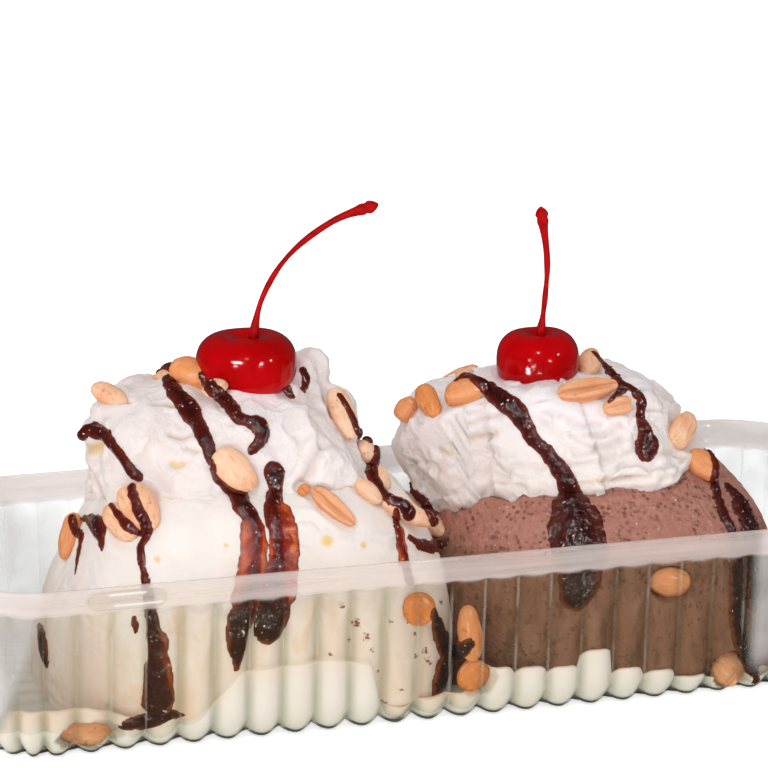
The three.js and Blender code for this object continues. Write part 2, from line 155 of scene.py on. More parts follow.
def calc(tree, operation, *values):
    return wire(tree, "ShaderNodeMath", dict(enumerate(values)), operation=operation).outputs[0]


def plus(tree, first, second):
    return calc(tree, "ADD", first, second)


def minus(tree, first, second):
    return calc(tree, "SUBTRACT", first, second)


def times(tree, first, second):
    return calc(tree, "MULTIPLY", first, second)


def vectorCalc(tree, operation, *values):
    made = wire(tree, "ShaderNodeVectorMath", dict(enumerate(values)), operation=operation)
    return made.outputs["Value" if operation in ("DOT_PRODUCT", "LENGTH", "DISTANCE") else "Vector"]


def scaled(tree, vector, factor):
    made = wire(tree, "ShaderNodeVectorMath", {0: vector, "Scale": factor}, operation="SCALE")
    return made.outputs["Vector"]


def ranged(tree, value, low, high, toLow=0.0, toHigh=1.0, smooth=True):
    kind = "SMOOTHSTEP" if smooth else "LINEAR"
    inputs = {"Value": value, "From Min": low, "From Max": high, "To Min": toLow, "To Max": toHigh}
    return wire(tree, "ShaderNodeMapRange", inputs, interpolation_type=kind).outputs[0]


def noiseOf(tree, vector, scale, detail=2.0, roughness=0.5, distortion=0.0):
    inputs = {"Vector": vector, "Scale": scale, "Detail": detail, "Roughness": roughness,
              "Distortion": distortion}
    return wire(tree, "ShaderNodeTexNoise", inputs).outputs[0]


def mixed(tree, factor, first, second, blend="MIX"):
    node = wire(tree, "ShaderNodeMix", {0: factor, 6: first, 7: second}, data_type="RGBA", blend_type=blend)
    return node.outputs[2]


# A colour given as it looks on a screen, 0 to 255.
def tone(red, green, blue):
    shares = [value / 255 for value in (red, green, blue)]
    linear = [c / 12.92 if c <= 0.0404 else ((c + 0.055) / 1.055) ** 2.4 for c in shares]
    return (*linear, 1.0)


def newMaterial(name):
    material = bpy.data.materials.new(name)
    material.use_nodes = True
    tree = material.node_tree
    shader = next(n for n in tree.nodes if n.type == "BSDF_PRINCIPLED")
    place = wire(tree, "ShaderNodeTexCoord").outputs["Object"]
    return material, tree, shader, place


def setShader(tree, shader, **values):
    names = {"colour": "Base Color", "roughness": "Roughness", "specular": "Specular IOR Level",
             "under": "Subsurface Weight", "underRadius": "Subsurface Radius",
             "underScale": "Subsurface Scale", "normal": "Normal"}
    for key, value in values.items():
        socket = shader.inputs[names[key]]
        if isinstance(value, bpy.types.NodeSocket):
            tree.links.new(value, socket)
        else:
            socket.default_value = value


def bumped(tree, height, distance):
    inputs = {"Height": height, "Distance": distance * mm, "Strength": 1.0}
    return wire(tree, "ShaderNodeBump", inputs).outputs[0]


def axisOf(tree, place, axis="Z"):
    return wire(tree, "ShaderNodeSeparateXYZ", {0: place}).outputs[axis]


def stretchedBy(tree, place, scale):
    return wire(tree, "ShaderNodeMapping", {0: place, "Scale": scale}).outputs[0]


def attributeOf(tree, name):
    return wire(tree, "ShaderNodeAttribute", attribute_name=name).outputs["Fac"]


# The same for a tree of Geometry Nodes, and its way of keeping a value on the mesh.
def named(tree, name, kind="FLOAT"):
    return wire(tree, "GeometryNodeInputNamedAttribute", {"Name": name}, data_type=kind).outputs[0]


def stored(tree, geometry, name, value):
    inputs = {"Geometry": geometry, "Name": name, "Value": value}
    return wire(tree, "GeometryNodeStoreNamedAttribute", inputs, data_type="FLOAT", domain="POINT").outputs[0]


def moved(tree, geometry, offset):
    return wire(tree, "GeometryNodeSetPosition", {"Geometry": geometry, "Offset": offset}).outputs[0]


# A Geometry Nodes tree with named number inputs. build(tree, sockets) returns the geometry that goes out.
def geometryTree(name, inputs, build, material):
    tree = bpy.data.node_groups.new(name, "GeometryNodeTree")
    tree.interface.new_socket(name="Geometry", in_out="INPUT", socket_type="NodeSocketGeometry")
    kinds = {float: "NodeSocketFloat", tuple: "NodeSocketVector", bpy.types.Object: "NodeSocketObject"}
    for key, value in inputs.items():
        socket = tree.interface.new_socket(name=key, in_out="INPUT", socket_type=kinds[type(value)])
        if not isinstance(value, bpy.types.Object):
            socket.default_value = value
    tree.interface.new_socket(name="Geometry", in_out="OUTPUT", socket_type="NodeSocketGeometry")
    start = wire(tree, "NodeGroupInput")
    shape = build(tree, {s.name: s for s in start.outputs if s.name})
    real = wire(tree, "GeometryNodeRealizeInstances", {0: shape}).outputs[0]
    done = wire(tree, "GeometryNodeSetMaterial", {"Geometry": real, "Material": material}).outputs[0]
    end = wire(tree, "NodeGroupOutput")
    tree.links.new(done, end.inputs[0])
    return tree


# Puts a tree on an object with its own numbers, and makes the result a plain mesh.
def grow(piece, tree, values):
    modifier = piece.modifiers.new(tree.name, "NODES")
    modifier.node_group = tree
    for item in tree.interface.items_tree:
        if item.item_type == "SOCKET" and item.in_out == "INPUT" and item.name in values:
            modifier[item.identifier] = values[item.name]
    return settle(piece)


def settle(piece):
    bpy.context.view_layer.update()
    graph = bpy.context.evaluated_depsgraph_get()
    mesh = bpy.data.meshes.new_from_object(piece.evaluated_get(graph), depsgraph=graph)
    piece.modifiers.clear()
    old = piece.data
    piece.data = mesh
    bpy.data.meshes.remove(old)
    mesh.name = piece.name
    mesh.polygons.foreach_set("use_smooth", [True] * len(mesh.polygons))
    return piece


def settled(piece, slot, *replaced):
    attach(piece, "root")
    if replaced:
        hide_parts(*replaced)
    return piece


# points of a mesh, in metres
def meshArrays(piece):
    mesh = piece.data
    points = np.zeros(len(mesh.vertices) * 3, np.float32)
    mesh.vertices.foreach_get("co", points)
    return points.reshape(-1, 3).astype(float)


# Points of each piece and the faces of all of them, numbered as one mesh.
def gathered(pieces):
    points, faces, start = [], [], 0
    for piece in pieces:
        points.append(meshArrays(piece))
        faces += [tuple(i + start for i in polygon.vertices) for polygon in piece.data.polygons]
        start += len(points[-1])
    return points, faces


def surfaceTree(*pieces):
    points, faces = gathered(pieces)
    return BVHTree.FromPolygons(np.concatenate(points).tolist(), faces)


# Materials.
def clearPlastic():
    material, tree, shader, place = newMaterial("clear plastic")
    rim = attributeOf(tree, "band")
    far = attributeOf(tree, "far")
    facing = wire(tree, "ShaderNodeLayerWeight", {"Blend": 0.5}).outputs["Facing"]
    clouds = noiseOf(tree, place, 38, 3)
    near = mixed(tree, calc(tree, "POWER", facing, 3.0), tone(250, 249, 246), tone(224, 226, 216))
    foggy = mixed(tree, ranged(tree, clouds, 0.35, 0.7), tone(242, 243, 243), tone(228, 230, 230))
    # painted contact shadow: a dark grey-green tint along the bottom 1.5 mm of the wall
    low = ranged(tree, axisOf(tree, place), 1.5 * mm, 0.2 * mm)
    near = mixed(tree, low, near, tone(104, 106, 96))
    # painted shade in the grooves of the flutes
    grooveShade = ranged(tree, attributeOf(tree, "groove"), 0.25, 1.0, 0, 0.4)
    near = mixed(tree, grooveShade, near, tone(220, 220, 206))
    tint = mixed(tree, far, near, foggy)
    through = wire(tree, "ShaderNodeBsdfTransparent", {"Color": tint}).outputs[0]
    streak = noiseOf(tree, stretchedBy(tree, place, (0.05, 0.05, 1)), 500, 1)
    haze = times(tree, rim, ranged(tree, streak, 0.3, 0.7, 0.28, 0.38))
    haze = plus(tree, haze, times(tree, far, ranged(tree, clouds, 0.4, 0.75, 0.1, 0.28)))
    # painted highlight: broken pale lines along the bottoms of the grooves
    line = ranged(tree, attributeOf(tree, "groove"), 0.86, 1.0)
    broken = ranged(tree, noiseOf(tree, place, 60, 2), 0.42, 0.6, 0.03, 0.18)
    haze = plus(tree, haze, times(tree, line, broken))
    # painted highlight lines on the stacking lug
    haze = plus(tree, haze, times(tree, attributeOf(tree, "shine"), 0.8))
    haze = calc(tree, "MINIMUM", plus(tree, haze, 0.004), 1.0)
    setShader(tree, shader, colour=mixed(tree, rim, tone(238, 232, 229), tone(238, 225, 220)), roughness=0.22,
              specular=0.3)
    milky = wire(tree, "ShaderNodeMixShader", {0: haze, 1: through, 2: shader.outputs[0]}).outputs[0]
    mirror = wire(tree, "ShaderNodeBsdfGlossy", {"Color": (1, 1, 1, 1), "Roughness": 0.04}).outputs[0]
    gloss = plus(tree, times(tree, calc(tree, "POWER", facing, 5.0), 0.5), 0.01)
    gloss = times(tree, gloss, ranged(tree, far, 0, 1, 1.0, 0.4, smooth=False))
    surface = wire(tree, "ShaderNodeMixShader", {0: gloss, 1: milky, 2: mirror}).outputs[0]
    output = next(n for n in tree.nodes if n.type == "OUTPUT_MATERIAL")
    tree.links.new(surface, output.inputs["Surface"])
    return material


def creamMaterial():
    material, tree, shader, place = newMaterial("whipped cream")
    hollow = attributeOf(tree, "hollow")
    patches = noiseOf(tree, place, 60, 3)
    base = mixed(tree, ranged(tree, patches, 0.35, 0.7), tone(243, 235, 235), tone(240, 229, 226))
    depth = axisOf(tree, place)
    base = mixed(tree, ranged(tree, depth, 60 * mm, 46 * mm), base, tone(243, 233, 227))
    # painted shade: darker and warmer towards the left side of the cream
    side = axisOf(tree, place, "X")
    base = mixed(tree, ranged(tree, side, -30 * mm, -58 * mm, 0, 0.7), base, tone(236, 223, 218))
    # painted shade in the hollows of the folds and along the creases
    base = mixed(tree, ranged(tree, hollow, 0.1, 1.0, 0, 0.6), base, tone(220, 203, 197))
    base = mixed(tree, ranged(tree, attributeOf(tree, "tint"), 0.15, 0.85, 0, 0.9), base, tone(236, 204, 154))
    for centre, radius in (((-36.1, -3, 75.2), 11.1), ((31.6, -2, 70.6), 9.3)):
        middle = tuple(c * mm for c in centre)
        away = vectorCalc(tree, "DISTANCE", place, middle)
        near = ranged(tree, away, (radius + 4) * mm, (radius - 1) * mm)
        base = mixed(tree, times(tree, near, 0.4), base, tone(246, 196, 200))
    sharp = calc(tree, "ABSOLUTE", minus(tree, noiseOf(tree, place, 160, 4, 0.55, 0.6), 0.5))
    fine = plus(tree, times(tree, sharp, 3.0), times(tree, noiseOf(tree, place, 1500, 3, 0.6), 0.2))
    setShader(tree, shader, colour=base, roughness=0.5, specular=0.35, under=0.3,
              underRadius=(1.0, 0.75, 0.6), underScale=0.0015, normal=bumped(tree, fine, 0.5))
    return material


def vanillaMaterial():
    material, tree, shader, place = newMaterial("vanilla ice cream")
    patches = noiseOf(tree, place, 45, 3)
    base = mixed(tree, ranged(tree, patches, 0.3, 0.7), tone(247, 238, 233), tone(244, 232, 224))
    depth = axisOf(tree, place)
    # painted shade: darker and warmer towards the bottom, behind the wall
    base = mixed(tree, ranged(tree, depth, 34 * mm, 18 * mm, 0, 0.75), base, tone(240, 220, 204))
    behind = ranged(tree, depth, 36 * mm, 28 * mm)
    stretched = stretchedBy(tree, place, (1, 1, 0.35))
    pale = ranged(tree, noiseOf(tree, stretched, 110, 3, 0.55, 0.5), 0.48, 0.66, 0, 0.75)
    base = mixed(tree, times(tree, pale, behind), base, tone(246, 236, 228))
    warm = ranged(tree, noiseOf(tree, stretched, 150, 2, 0.5, 0.8), 0.55, 0.7, 0, 0.6)
    base = mixed(tree, times(tree, warm, behind), base, tone(238, 206, 178))
    spots = wire(tree, "ShaderNodeTexVoronoi", {"Vector": place, "Scale": 130.0}).outputs["Distance"]
    rare = ranged(tree, noiseOf(tree, place, 90, 1), 0.58, 0.66)
    spot = times(tree, ranged(tree, spots, 0.16, 0.05), rare)
    base = mixed(tree, calc(tree, "MAXIMUM", spot, attributeOf(tree, "spot")), base, tone(243, 205, 140))
    ragged = ranged(tree, noiseOf(tree, place, 1300, 2), 0.4, 0.62, -0.9, 0.35)
    speck = ranged(tree, plus(tree, attributeOf(tree, "speck"), ragged), 0.35, 0.7)
    speck = times(tree, speck, ranged(tree, attributeOf(tree, "speck"), 0.02, 0.1))
    base = mixed(tree, times(tree, attributeOf(tree, "speck"), 0.35), base, tone(214, 160, 140))
    base = mixed(tree, times(tree, speck, 0.9), base, tone(136, 70, 56))
    fine = noiseOf(tree, place, 900, 4, 0.6)
    setShader(tree, shader, colour=base, roughness=0.5, specular=0.35, under=0.3,
              underRadius=(1.0, 0.75, 0.55), underScale=0.002, normal=bumped(tree, fine, 0.12))
    return material


def chocolateMaterial():
    material, tree, shader, place = newMaterial("chocolate ice cream")
    patches = noiseOf(tree, place, 110, 4, 0.6)
    base = mixed(tree, ranged(tree, patches, 0.3, 0.7), tone(176, 116, 99), tone(190, 130, 113))
    flecks = ranged(tree, noiseOf(tree, place, 420, 3, 0.6), 0.5, 0.7, 0, 0.4)
    base = mixed(tree, flecks, base, tone(202, 146, 130))
    # pores, darkened by painted shade and sunk by the bump
    cells = wire(tree, "ShaderNodeTexVoronoi", {"Vector": place, "Scale": 780.0}).outputs["Distance"]
    pore = times(tree, ranged(tree, cells, 0.42, 0.12), ranged(tree, noiseOf(tree, place, 260, 2), 0.42, 0.6))
    base = mixed(tree, times(tree, pore, 0.7), base, tone(112, 66, 54))
    # pale ice crystals, whose bright specks also serve as painted glints
    ice = ranged(tree, noiseOf(tree, place, 1300, 1), 0.69, 0.74)
    base = mixed(tree, times(tree, ice, 0.7), base, tone(226, 190, 178))
    # painted shade in the pits of the relief
    base = mixed(tree, times(tree, attributeOf(tree, "pit"), 0.8), base, tone(110, 62, 48))
    depth = axisOf(tree, place)
    # painted shade: darker and browner on the low part behind the wall
    base = mixed(tree, ranged(tree, depth, 36 * mm, 30 * mm, 0, 0.9), base, tone(137, 96, 68))
    smear = noiseOf(tree, stretchedBy(tree, place, (1, 1, 0.2)), 300, 3)
    behind = ranged(tree, depth, 36 * mm, 30 * mm)
    base = mixed(tree, times(tree, ranged(tree, smear, 0.5, 0.68, 0, 0.7), behind), base, tone(156, 116, 92))
    base = mixed(tree, times(tree, ranged(tree, smear, 0.48, 0.34, 0, 0.7), behind), base, tone(100, 70, 48))
    # painted shadow along the tinted creases, under the cream's hem
    base = mixed(tree, ranged(tree, attributeOf(tree, "tint"), 0.15, 0.9, 0, 0.85), base, tone(78, 46, 38))
    fine = minus(tree, noiseOf(tree, place, 1100, 4, 0.65), times(tree, pore, 0.8))
    setShader(tree, shader, colour=base, roughness=0.48, specular=0.4, under=0.12,
              underRadius=(1.0, 0.5, 0.35), underScale=0.0012, normal=bumped(tree, fine, 0.5))
    return material


def meltMaterial():
    material, tree, shader, place = newMaterial("melted ice cream")
    patches = noiseOf(tree, place, 70, 3)
    base = mixed(tree, ranged(tree, patches, 0.35, 0.7), tone(236, 230, 224), tone(233, 226, 215))
    # painted shade in the grooves
    base = mixed(tree, ranged(tree, attributeOf(tree, "groove"), 0.3, 1.0, 0, 0.6), base, tone(202, 200, 186))
    height = axisOf(tree, place)
    # painted shade: darker towards the floor
    base = mixed(tree, ranged(tree, height, 10 * mm, 1 * mm, 0, 0.6), base, tone(208, 208, 198))
    base = mixed(tree, attributeOf(tree, "edge"), base, tone(241, 222, 207))
    setShader(tree, shader, colour=base, roughness=0.35, specular=0.35, under=0.25,
              underRadius=(1.0, 0.8, 0.6), underScale=0.002)
    return material


def syrupMaterial():
    material, tree, shader, place = newMaterial("chocolate syrup")
    depth = attributeOf(tree, "depth")
    clouds = noiseOf(tree, place, 260, 2)
    depth = plus(tree, depth, ranged(tree, clouds, 0.3, 0.7, -0.14, 0.14))
    dark = attributeOf(tree, "dark")
    amber = times(tree, attributeOf(tree, "amber"), ranged(tree, dark, 0.4, 0.0, smooth=False))
    film = mixed(tree, dark, mixed(tree, amber, tone(112, 38, 24), tone(206, 90, 32)), tone(84, 34, 24))
    red = mixed(tree, dark, mixed(tree, amber, tone(92, 28, 18), tone(150, 46, 20)), tone(66, 26, 20))
    base = mixed(tree, ranged(tree, depth, 0.12, 0.36), film, red)
    thick = mixed(tree, amber, tone(74, 18, 12), tone(122, 28, 10))
    deepest = mixed(tree, amber, tone(50, 13, 10), tone(86, 18, 8))
    base = mixed(tree, ranged(tree, depth, 0.36, 0.7), base, thick)
    base = mixed(tree, ranged(tree, depth, 0.7, 1.05), base, deepest)
    height = axisOf(tree, place)
    olive = mixed(tree, ranged(tree, depth, 0.12, 0.5), tone(122, 70, 34), tone(52, 38, 24))
    base = mixed(tree, ranged(tree, height, 35 * mm, 28 * mm, 0, 0.75), base, olive)
    # painted glints: small pale spots on the thicker syrup
    paintedGlint = times(tree, ranged(tree, noiseOf(tree, place, 1100, 1), 0.71, 0.74), ranged(
        tree, depth, 0.35, 0.6))
    base = mixed(tree, times(tree, paintedGlint, 0.85), base, tone(236, 214, 208))
    waves = noiseOf(tree, place, 300, 3, 0.6)
    setShader(tree, shader, colour=base, roughness=0.1, specular=0.3, normal=bumped(tree, waves, 1.0))
    return material


def peanutMaterial():
    material, tree, shader, place = newMaterial("roasted peanut")
    roast = attributeOf(tree, "roast")
    brim = attributeOf(tree, "brim")
    own = wire(tree, "ShaderNodeAttribute", attribute_name="own").outputs["Vector"]
    own = vectorCalc(tree, "ADD", own, vectorCalc(tree, "MULTIPLY", (31.0, 47.0, 11.0), wire(
        tree, "ShaderNodeCombineXYZ", {0: roast, 1: roast, 2: roast}).outputs[0]))
    streaks = noiseOf(tree, vectorCalc(tree, "MULTIPLY", own, (1.2, 5.0, 5.0)), 1.6, 4, 0.65)
    patches = noiseOf(tree, place, 190, 3)
    base = mixed(tree, roast, tone(252, 212, 180), tone(236, 144, 72))
    base = mixed(tree, ranged(tree, streaks, 0.52, 0.72, 0, 0.6), base, tone(222, 128, 58))
    base = mixed(tree, ranged(tree, streaks, 0.46, 0.3, 0, 0.6), base, tone(255, 222, 182))
    base = mixed(tree, ranged(tree, patches, 0.5, 0.72, 0, 0.45), base, tone(230, 144, 78))
    skin = noiseOf(tree, place, 420, 3, 0.6)
    base = mixed(tree, ranged(tree, skin, 0.62, 0.72, 0, 0.55), base, tone(196, 92, 44))
    base = mixed(tree, times(tree, brim, 0.6), base, tone(206, 108, 50))
    grain = plus(tree, streaks, times(tree, noiseOf(tree, place, 1200, 3, 0.6), 0.4))
    setShader(tree, shader, colour=base, roughness=0.34, specular=0.45, under=0.15,
              underRadius=(1.0, 0.6, 0.3), underScale=0.0015, normal=bumped(tree, grain, 0.35))
    return material


def cherryMaterial():
    material, tree, shader, place = newMaterial("maraschino cherry")
    clouds = noiseOf(tree, place, 90, 2)
    base = mixed(tree, ranged(tree, clouds, 0.35, 0.7), tone(168, 0, 2), tone(190, 1, 9))
    skin = noiseOf(tree, place, 700, 2)
    # painted shade: darker red where the skin turns away from the view
    rim = wire(tree, "ShaderNodeLayerWeight", {"Blend": 0.5}).outputs["Facing"]
    base = mixed(tree, ranged(tree, rim, 0.45, 0.95, 0, 0.75), base, tone(112, 0, 4))
    setShader(tree, shader, colour=base, roughness=0.12, specular=0.16, under=0.15,
              underRadius=(1.0, 0.02, 0.02), underScale=0.003, normal=bumped(tree, skin, 0.04))
    return material


def stemMaterial():
    material, tree, shader, place = newMaterial("cherry stem")
    streaks = noiseOf(tree, place, 500, 2)
    base = mixed(tree, ranged(tree, streaks, 0.35, 0.7), tone(182, 2, 4), tone(146, 2, 4))
    setShader(tree, shader, colour=base, roughness=0.4, specular=0.08)
    return material


def floorMaterial():
    material, tree, shader = newMaterial("pale floor")[:3]
    setShader(tree, shader, colour=(0.95, 0.95, 0.95, 1), roughness=0.9, specular=0.0)
    shader.inputs["Emission Color"].default_value = (1, 1, 1, 1)
    path = wire(tree, "ShaderNodeLightPath").outputs
    glow = ranged(tree, path["Is Camera Ray"], 0.0, 1.0, 0.42, 0.66, smooth=False)
    tree.links.new(glow, shader.inputs["Emission Strength"])
    return material


plastic = clearPlastic()
cream = creamMaterial()
vanilla = vanillaMaterial()
chocolate = chocolateMaterial()
melt = meltMaterial()
syrupLook = syrupMaterial()
nutLook = peanutMaterial()
cherryLook = cherryMaterial()
stemLook = stemMaterial()
print("materials made")

# The clear boat.
boat = {"length": 216, "width": 88, "height": 40, "cornerRadius": 20.5, "draft": 5, "footRadius": 6.2,
        "wall": 0.9, "flutes": 74, "fluteDepth": 1.7, "roundness": 0.95, "footLift": 1.7,
        "bandHeight": 6.5, "bandStep": 1.3, "bandRise": 0.9, "lipReach": 0.9, "columnsPerFlute": 10,
        "lug": {"x": -72.5, "width": 17, "height": 4, "depth": 1.1, "drop": 3.1}}
coreX = boat["length"] / 2 - boat["cornerRadius"]
coreY = boat["width"] / 2 - boat["cornerRadius"]
bandFoot = boat["height"] - boat["bandHeight"]
footFlat = boat["cornerRadius"] - boat["draft"] - boat["footRadius"]


# Point of the core rectangle and outward direction, a share of the way round from the front middle.
def roundTheCore(share):
    arc = math.pi / 2 * (boat["cornerRadius"] - boat["draft"] / 2)
    legs = np.array([coreX, arc, 2 * coreY, arc, 2 * coreX, arc, 2 * coreY, arc, coreX])
    ends = np.cumsum(legs)
    left = (np.asarray(share, float) % 1) * ends[-1]
    k = np.minimum(np.searchsorted(ends, left), 8)
    left = left - (ends - legs)[k]
    # start of each leg and the way that it runs
    starts = np.array([[0, -1, 1, 0], [1, -1, 0, 0], [1, -1, 0, 1], [1, 1, 0, 0], [1, 1, -1, 0],
                       [-1, 1, 0, 0], [-1, 1, 0, -1], [-1, -1, 0, 0], [-1, -1, 1, 0]])[k]
    onArc = k % 2 == 1
    heading = np.radians(np.where(onArc, (k - 1) / 2 * 90 - 90 + 90 * left / arc, k / 2 * 90 - 90))
    along = np.where(onArc, 0, left)
    middle = starts[:, :2] * (coreX, coreY) + starts[:, 2:] * along[..., None]
    return middle, np.stack([np.cos(heading), np.sin(heading)], -1)


def wallInset(z):
    return boat["bandStep"] + (boat["draft"] - boat["bandStep"]) * (1 - z / boat["height"])


# How far a skin of the wall stands from the core rectangle at a height above the foot's flat.
def skinRadius(z, inset):
    z = np.asarray(z, float)
    foot = boat["footRadius"]
    straight = boat["cornerRadius"] - wallInset(np.maximum(z, foot)) - inset
    rise = np.clip((foot - z) / (foot - inset), 0, 1)
    return np.where(z < foot, footFlat + (straight - footFlat) * np.sqrt(1 - rise * rise), straight)


# Section of one skin from the middle of the floor to the rim: radius, height and share of the flute's depth.
def skinSection(inset):
    foot = boat["footRadius"]
    rows = [(footFlat * k / 3, inset, 0.6 * max(0, k - 1) / 2) for k in range(1, 4)]
    for angle in np.radians([12, 24, 36, 48, 60, 72, 82]):
        z = foot - (foot - inset) * math.cos(angle)
        rows.append((float(skinRadius(z, inset)), z, min(1, 0.6 + 0.5 * math.sin(angle))))
    for z in np.linspace(foot, bandFoot - 1.2, 9):
        rows.append((float(skinRadius(z, inset)), z, 1))
    wallTop = float(skinRadius(bandFoot, inset))
    bandStart = boat["cornerRadius"] - boat["lipReach"] - inset
    for share in (0, 0.2, 0.4, 0.6, 0.8, 1):
        step = share * share * (3 - 2 * share)
        z = bandFoot - 0.5 + (boat["bandRise"] + 0.7) * share
        rows.append((wallTop + (bandStart - wallTop) * step, z, 1 - step))
    for z in (36, 37.5, 38.6):
        share = (z - bandFoot) / boat["bandHeight"]
        rows.append((bandStart + (boat["lipReach"] - 0.35) * share * share, z, 0))
    return rows


# How much a place belongs to the back and end walls, which look foggy.
def farSide(points):
    end = smoothStep(np.abs(points[:, 0]), 97, 104) * smoothStep(points[:, 1], -36, -20)
    fog = smoothStep(-points[:, 0] - 0.32 * (38 - points[:, 2]), 88, 91)
    empty = smoothStep(points[:, 0], 68.5, 71.5) * smoothStep(-points[:, 1], 20, 30)
    empty = empty * smoothStep(points[:, 2], 4, 12)
    return np.maximum(np.maximum(smoothStep(points[:, 1], -6, 12), end), np.maximum(1.9 * fog, 1.5 * empty))


# Where round the core rectangle a point stands, as a share of the way from the front middle.
def wallShare(points):
    arc = math.pi / 2 * (boat["cornerRadius"] - boat["draft"] / 2)
    near = np.clip(points[:, :2], (-coreX, -coreY), (coreX, coreY))
    away = points[:, :2] - near
    heading = (np.degrees(np.arctan2(away[:, 1], away[:, 0])) + 90) % 360
    side = np.round(heading / 90).astype(int)
    passed = np.select([side == 0, side == 1, side == 2, side == 3],
                       [near[:, 0], coreX + coreY + near[:, 1], 2 * coreX + 2 * coreY - near[:, 0],
                        3 * coreX + 3 * coreY - near[:, 1]], 4 * coreX + 4 * coreY + near[:, 0])
    return (passed + arc * heading / 90) / (4 * coreX + 4 * coreY + 4 * arc) % 1


# How deep the flutes are cut where a point stands.
def fluteSag(points):
    crest = np.abs(np.sin(np.pi * boat["flutes"] * wallShare(points))) ** boat["roundness"]
    return boat["fluteDepth"] * (1 - crest)


# How much the grooves lift the foot at a point: all of it where the floor turns up into the wall.
def footShare(points):
    near = np.clip(points[:, :2], (-coreX, -coreY), (coreX, coreY))
    radius = np.linalg.norm(points[:, :2] - near, axis=1)
    return smoothStep(radius, footFlat - 4, footFlat + 1) * (1 - smoothStep(points[:, 2], 2.2, 8))


# 1 along the bottom of each groove, 0 where the flutes stand full
def grooveLine(phase, share):
    return ((1 - np.abs(np.sin(np.pi * np.array(phase)))) * (np.array(share) > 0.5)).tolist()


def boatShell():
    columns = boat["flutes"] * boat["columnsPerFlute"]
    middle, outward = roundTheCore(np.arange(columns) / columns)
    outer, inner = skinSection(0), skinSection(boat["wall"])
    outer[0] = (outer[0][0], 0, 0)
    lip = [(boat["cornerRadius"] - 0.15, 39.1, 0), (boat["cornerRadius"], 39.5, 0),
           (boat["cornerRadius"] - 0.1, 39.85, 0), (boat["cornerRadius"] - 0.55, 40, 0),
           (boat["cornerRadius"] - 1.0, 39.85, 0), (boat["cornerRadius"] - 1.25, 39.4, 0)]
    section = outer + lip + inner[::-1]
    points, fluting, phase, normals, band = [], [], [], [], []
    for radius, z, share in section:
        spread = min(1, radius / footFlat)
        reach = max(0, radius) if radius >= footFlat else radius
        flat = middle * spread + outward * reach
        points.append(np.column_stack([flat, np.full(columns, float(z))]))
        fluting += [share] * columns
        phase += (np.arange(columns) / boat["columnsPerFlute"]).tolist()
        normals.append(np.column_stack([outward, np.zeros(columns)]))
        band += [float(smoothStep(z, bandFoot - 0.4, bandFoot + 0.6))] * columns
    points = np.concatenate(points)
    points = np.concatenate([points, [[0, 0, 0], [0, 0, boat["wall"]]]])
    made = meshObject("clear_boat", points, closedFaces(len(section), columns),
                      fluting=fluting + [0, 0], flutePhase=phase + [0, 0],
                      outward=np.concatenate(normals + [np.zeros((2, 3))]), band=band + [0, 0],
                      groove=grooveLine(phase, fluting) + [0, 0], far=farSide(points), foot=footShare(points))
    checkOutward(made)
    return made


# Moves every point of a wall inwards by its flute: a narrow groove at each whole turn of the phase.
def flutingNodes(tree, given):
    phase = named(tree, "flutePhase")
    share = named(tree, "fluting")
    outward = named(tree, "outward", "FLOAT_VECTOR")
    turn = calc(tree, "ABSOLUTE", calc(tree, "SINE", times(tree, phase, math.pi)))
    groove = minus(tree, 1.0, calc(tree, "POWER", turn, given["Roundness"]))
    sag = times(tree, times(tree, groove, share), given["Flute Depth"])
    foot = named(tree, "foot")
    rise = times(tree, times(tree, groove, foot), given["Foot Lift"])
    offset = scaled(tree, outward, times(tree, sag, -1.0))
    offset = vectorCalc(tree, "ADD", offset, wire(tree, "ShaderNodeCombineXYZ", {2: rise}).outputs[0])
    return moved(tree, given["Geometry"], offset)


fluting = {"Flute Depth": boat["fluteDepth"] * mm, "Roundness": boat["roundness"],
           "Foot Lift": boat["footLift"] * mm}
shell = grow(boatShell(), geometryTree("fluted wall", fluting, flutingNodes, plastic), fluting)


# The stacking lug on the front band, a flat bar with rounded ends and edges. Two lines along it carry a
# painted highlight.
def stackingLug():
    lug = boat["lug"]
    rows, columns = 60, 40
    along = -np.cos(np.linspace(0, np.pi, rows + 2)[1:-1])
    around = np.arange(columns) * 2 * np.pi / columns
    side = np.sign(np.cos(around)) * np.abs(np.cos(around)) ** 0.5
    rise = np.sign(np.sin(around)) * np.abs(np.sin(around)) ** 0.6
    points, shine = [], []
    for x in along:
        full = (1 - abs(x) ** 9) ** 0.5
        points.append(np.column_stack([np.full(columns, x * lug["width"] / 2), side * lug["depth"] * full,
                                       rise * lug["height"] / 2 * full]))
        # where the two painted highlight lines run, near the top and the bottom of its front face
        onUpper = float(smoothStep(x, -0.55, -0.4) * smoothStep(-x, -0.55, -0.4))
        onLower = float(smoothStep(x, -0.45, -0.3) * smoothStep(-x, -0.95, -0.8))
        upper = np.exp(-((rise - 0.72) / 0.16) ** 2) * onUpper
        lower = np.exp(-((rise + 0.5) / 0.13) ** 2) * onLower
        shine.append((upper + lower) * (side < 0))
    ends = [(-lug["width"] / 2, 0, 0), (lug["width"] / 2, 0, 0)]
    middle = (lug["x"], 0.45 - boat["width"] / 2, boat["height"] - lug["drop"])
    points = np.concatenate(points + [ends]) + middle
    points[:, 1] = np.maximum(points[:, 1], -boat["width"] / 2)
    bar = meshObject("stacking_lug", points, closedFaces(rows, columns),
                     band=np.full(len(points), 0.3), far=np.zeros(len(points)),
                     groove=np.zeros(len(points)), shine=np.concatenate(shine + [np.zeros(2)]))
    checkOutward(bar)
    bar.data.materials.append(plastic)
    return bar


lugPiece = stackingLug()
settled(shell, "clear_plastic", "boat")
settled(lugPiece, "clear_plastic")
print("boat made")
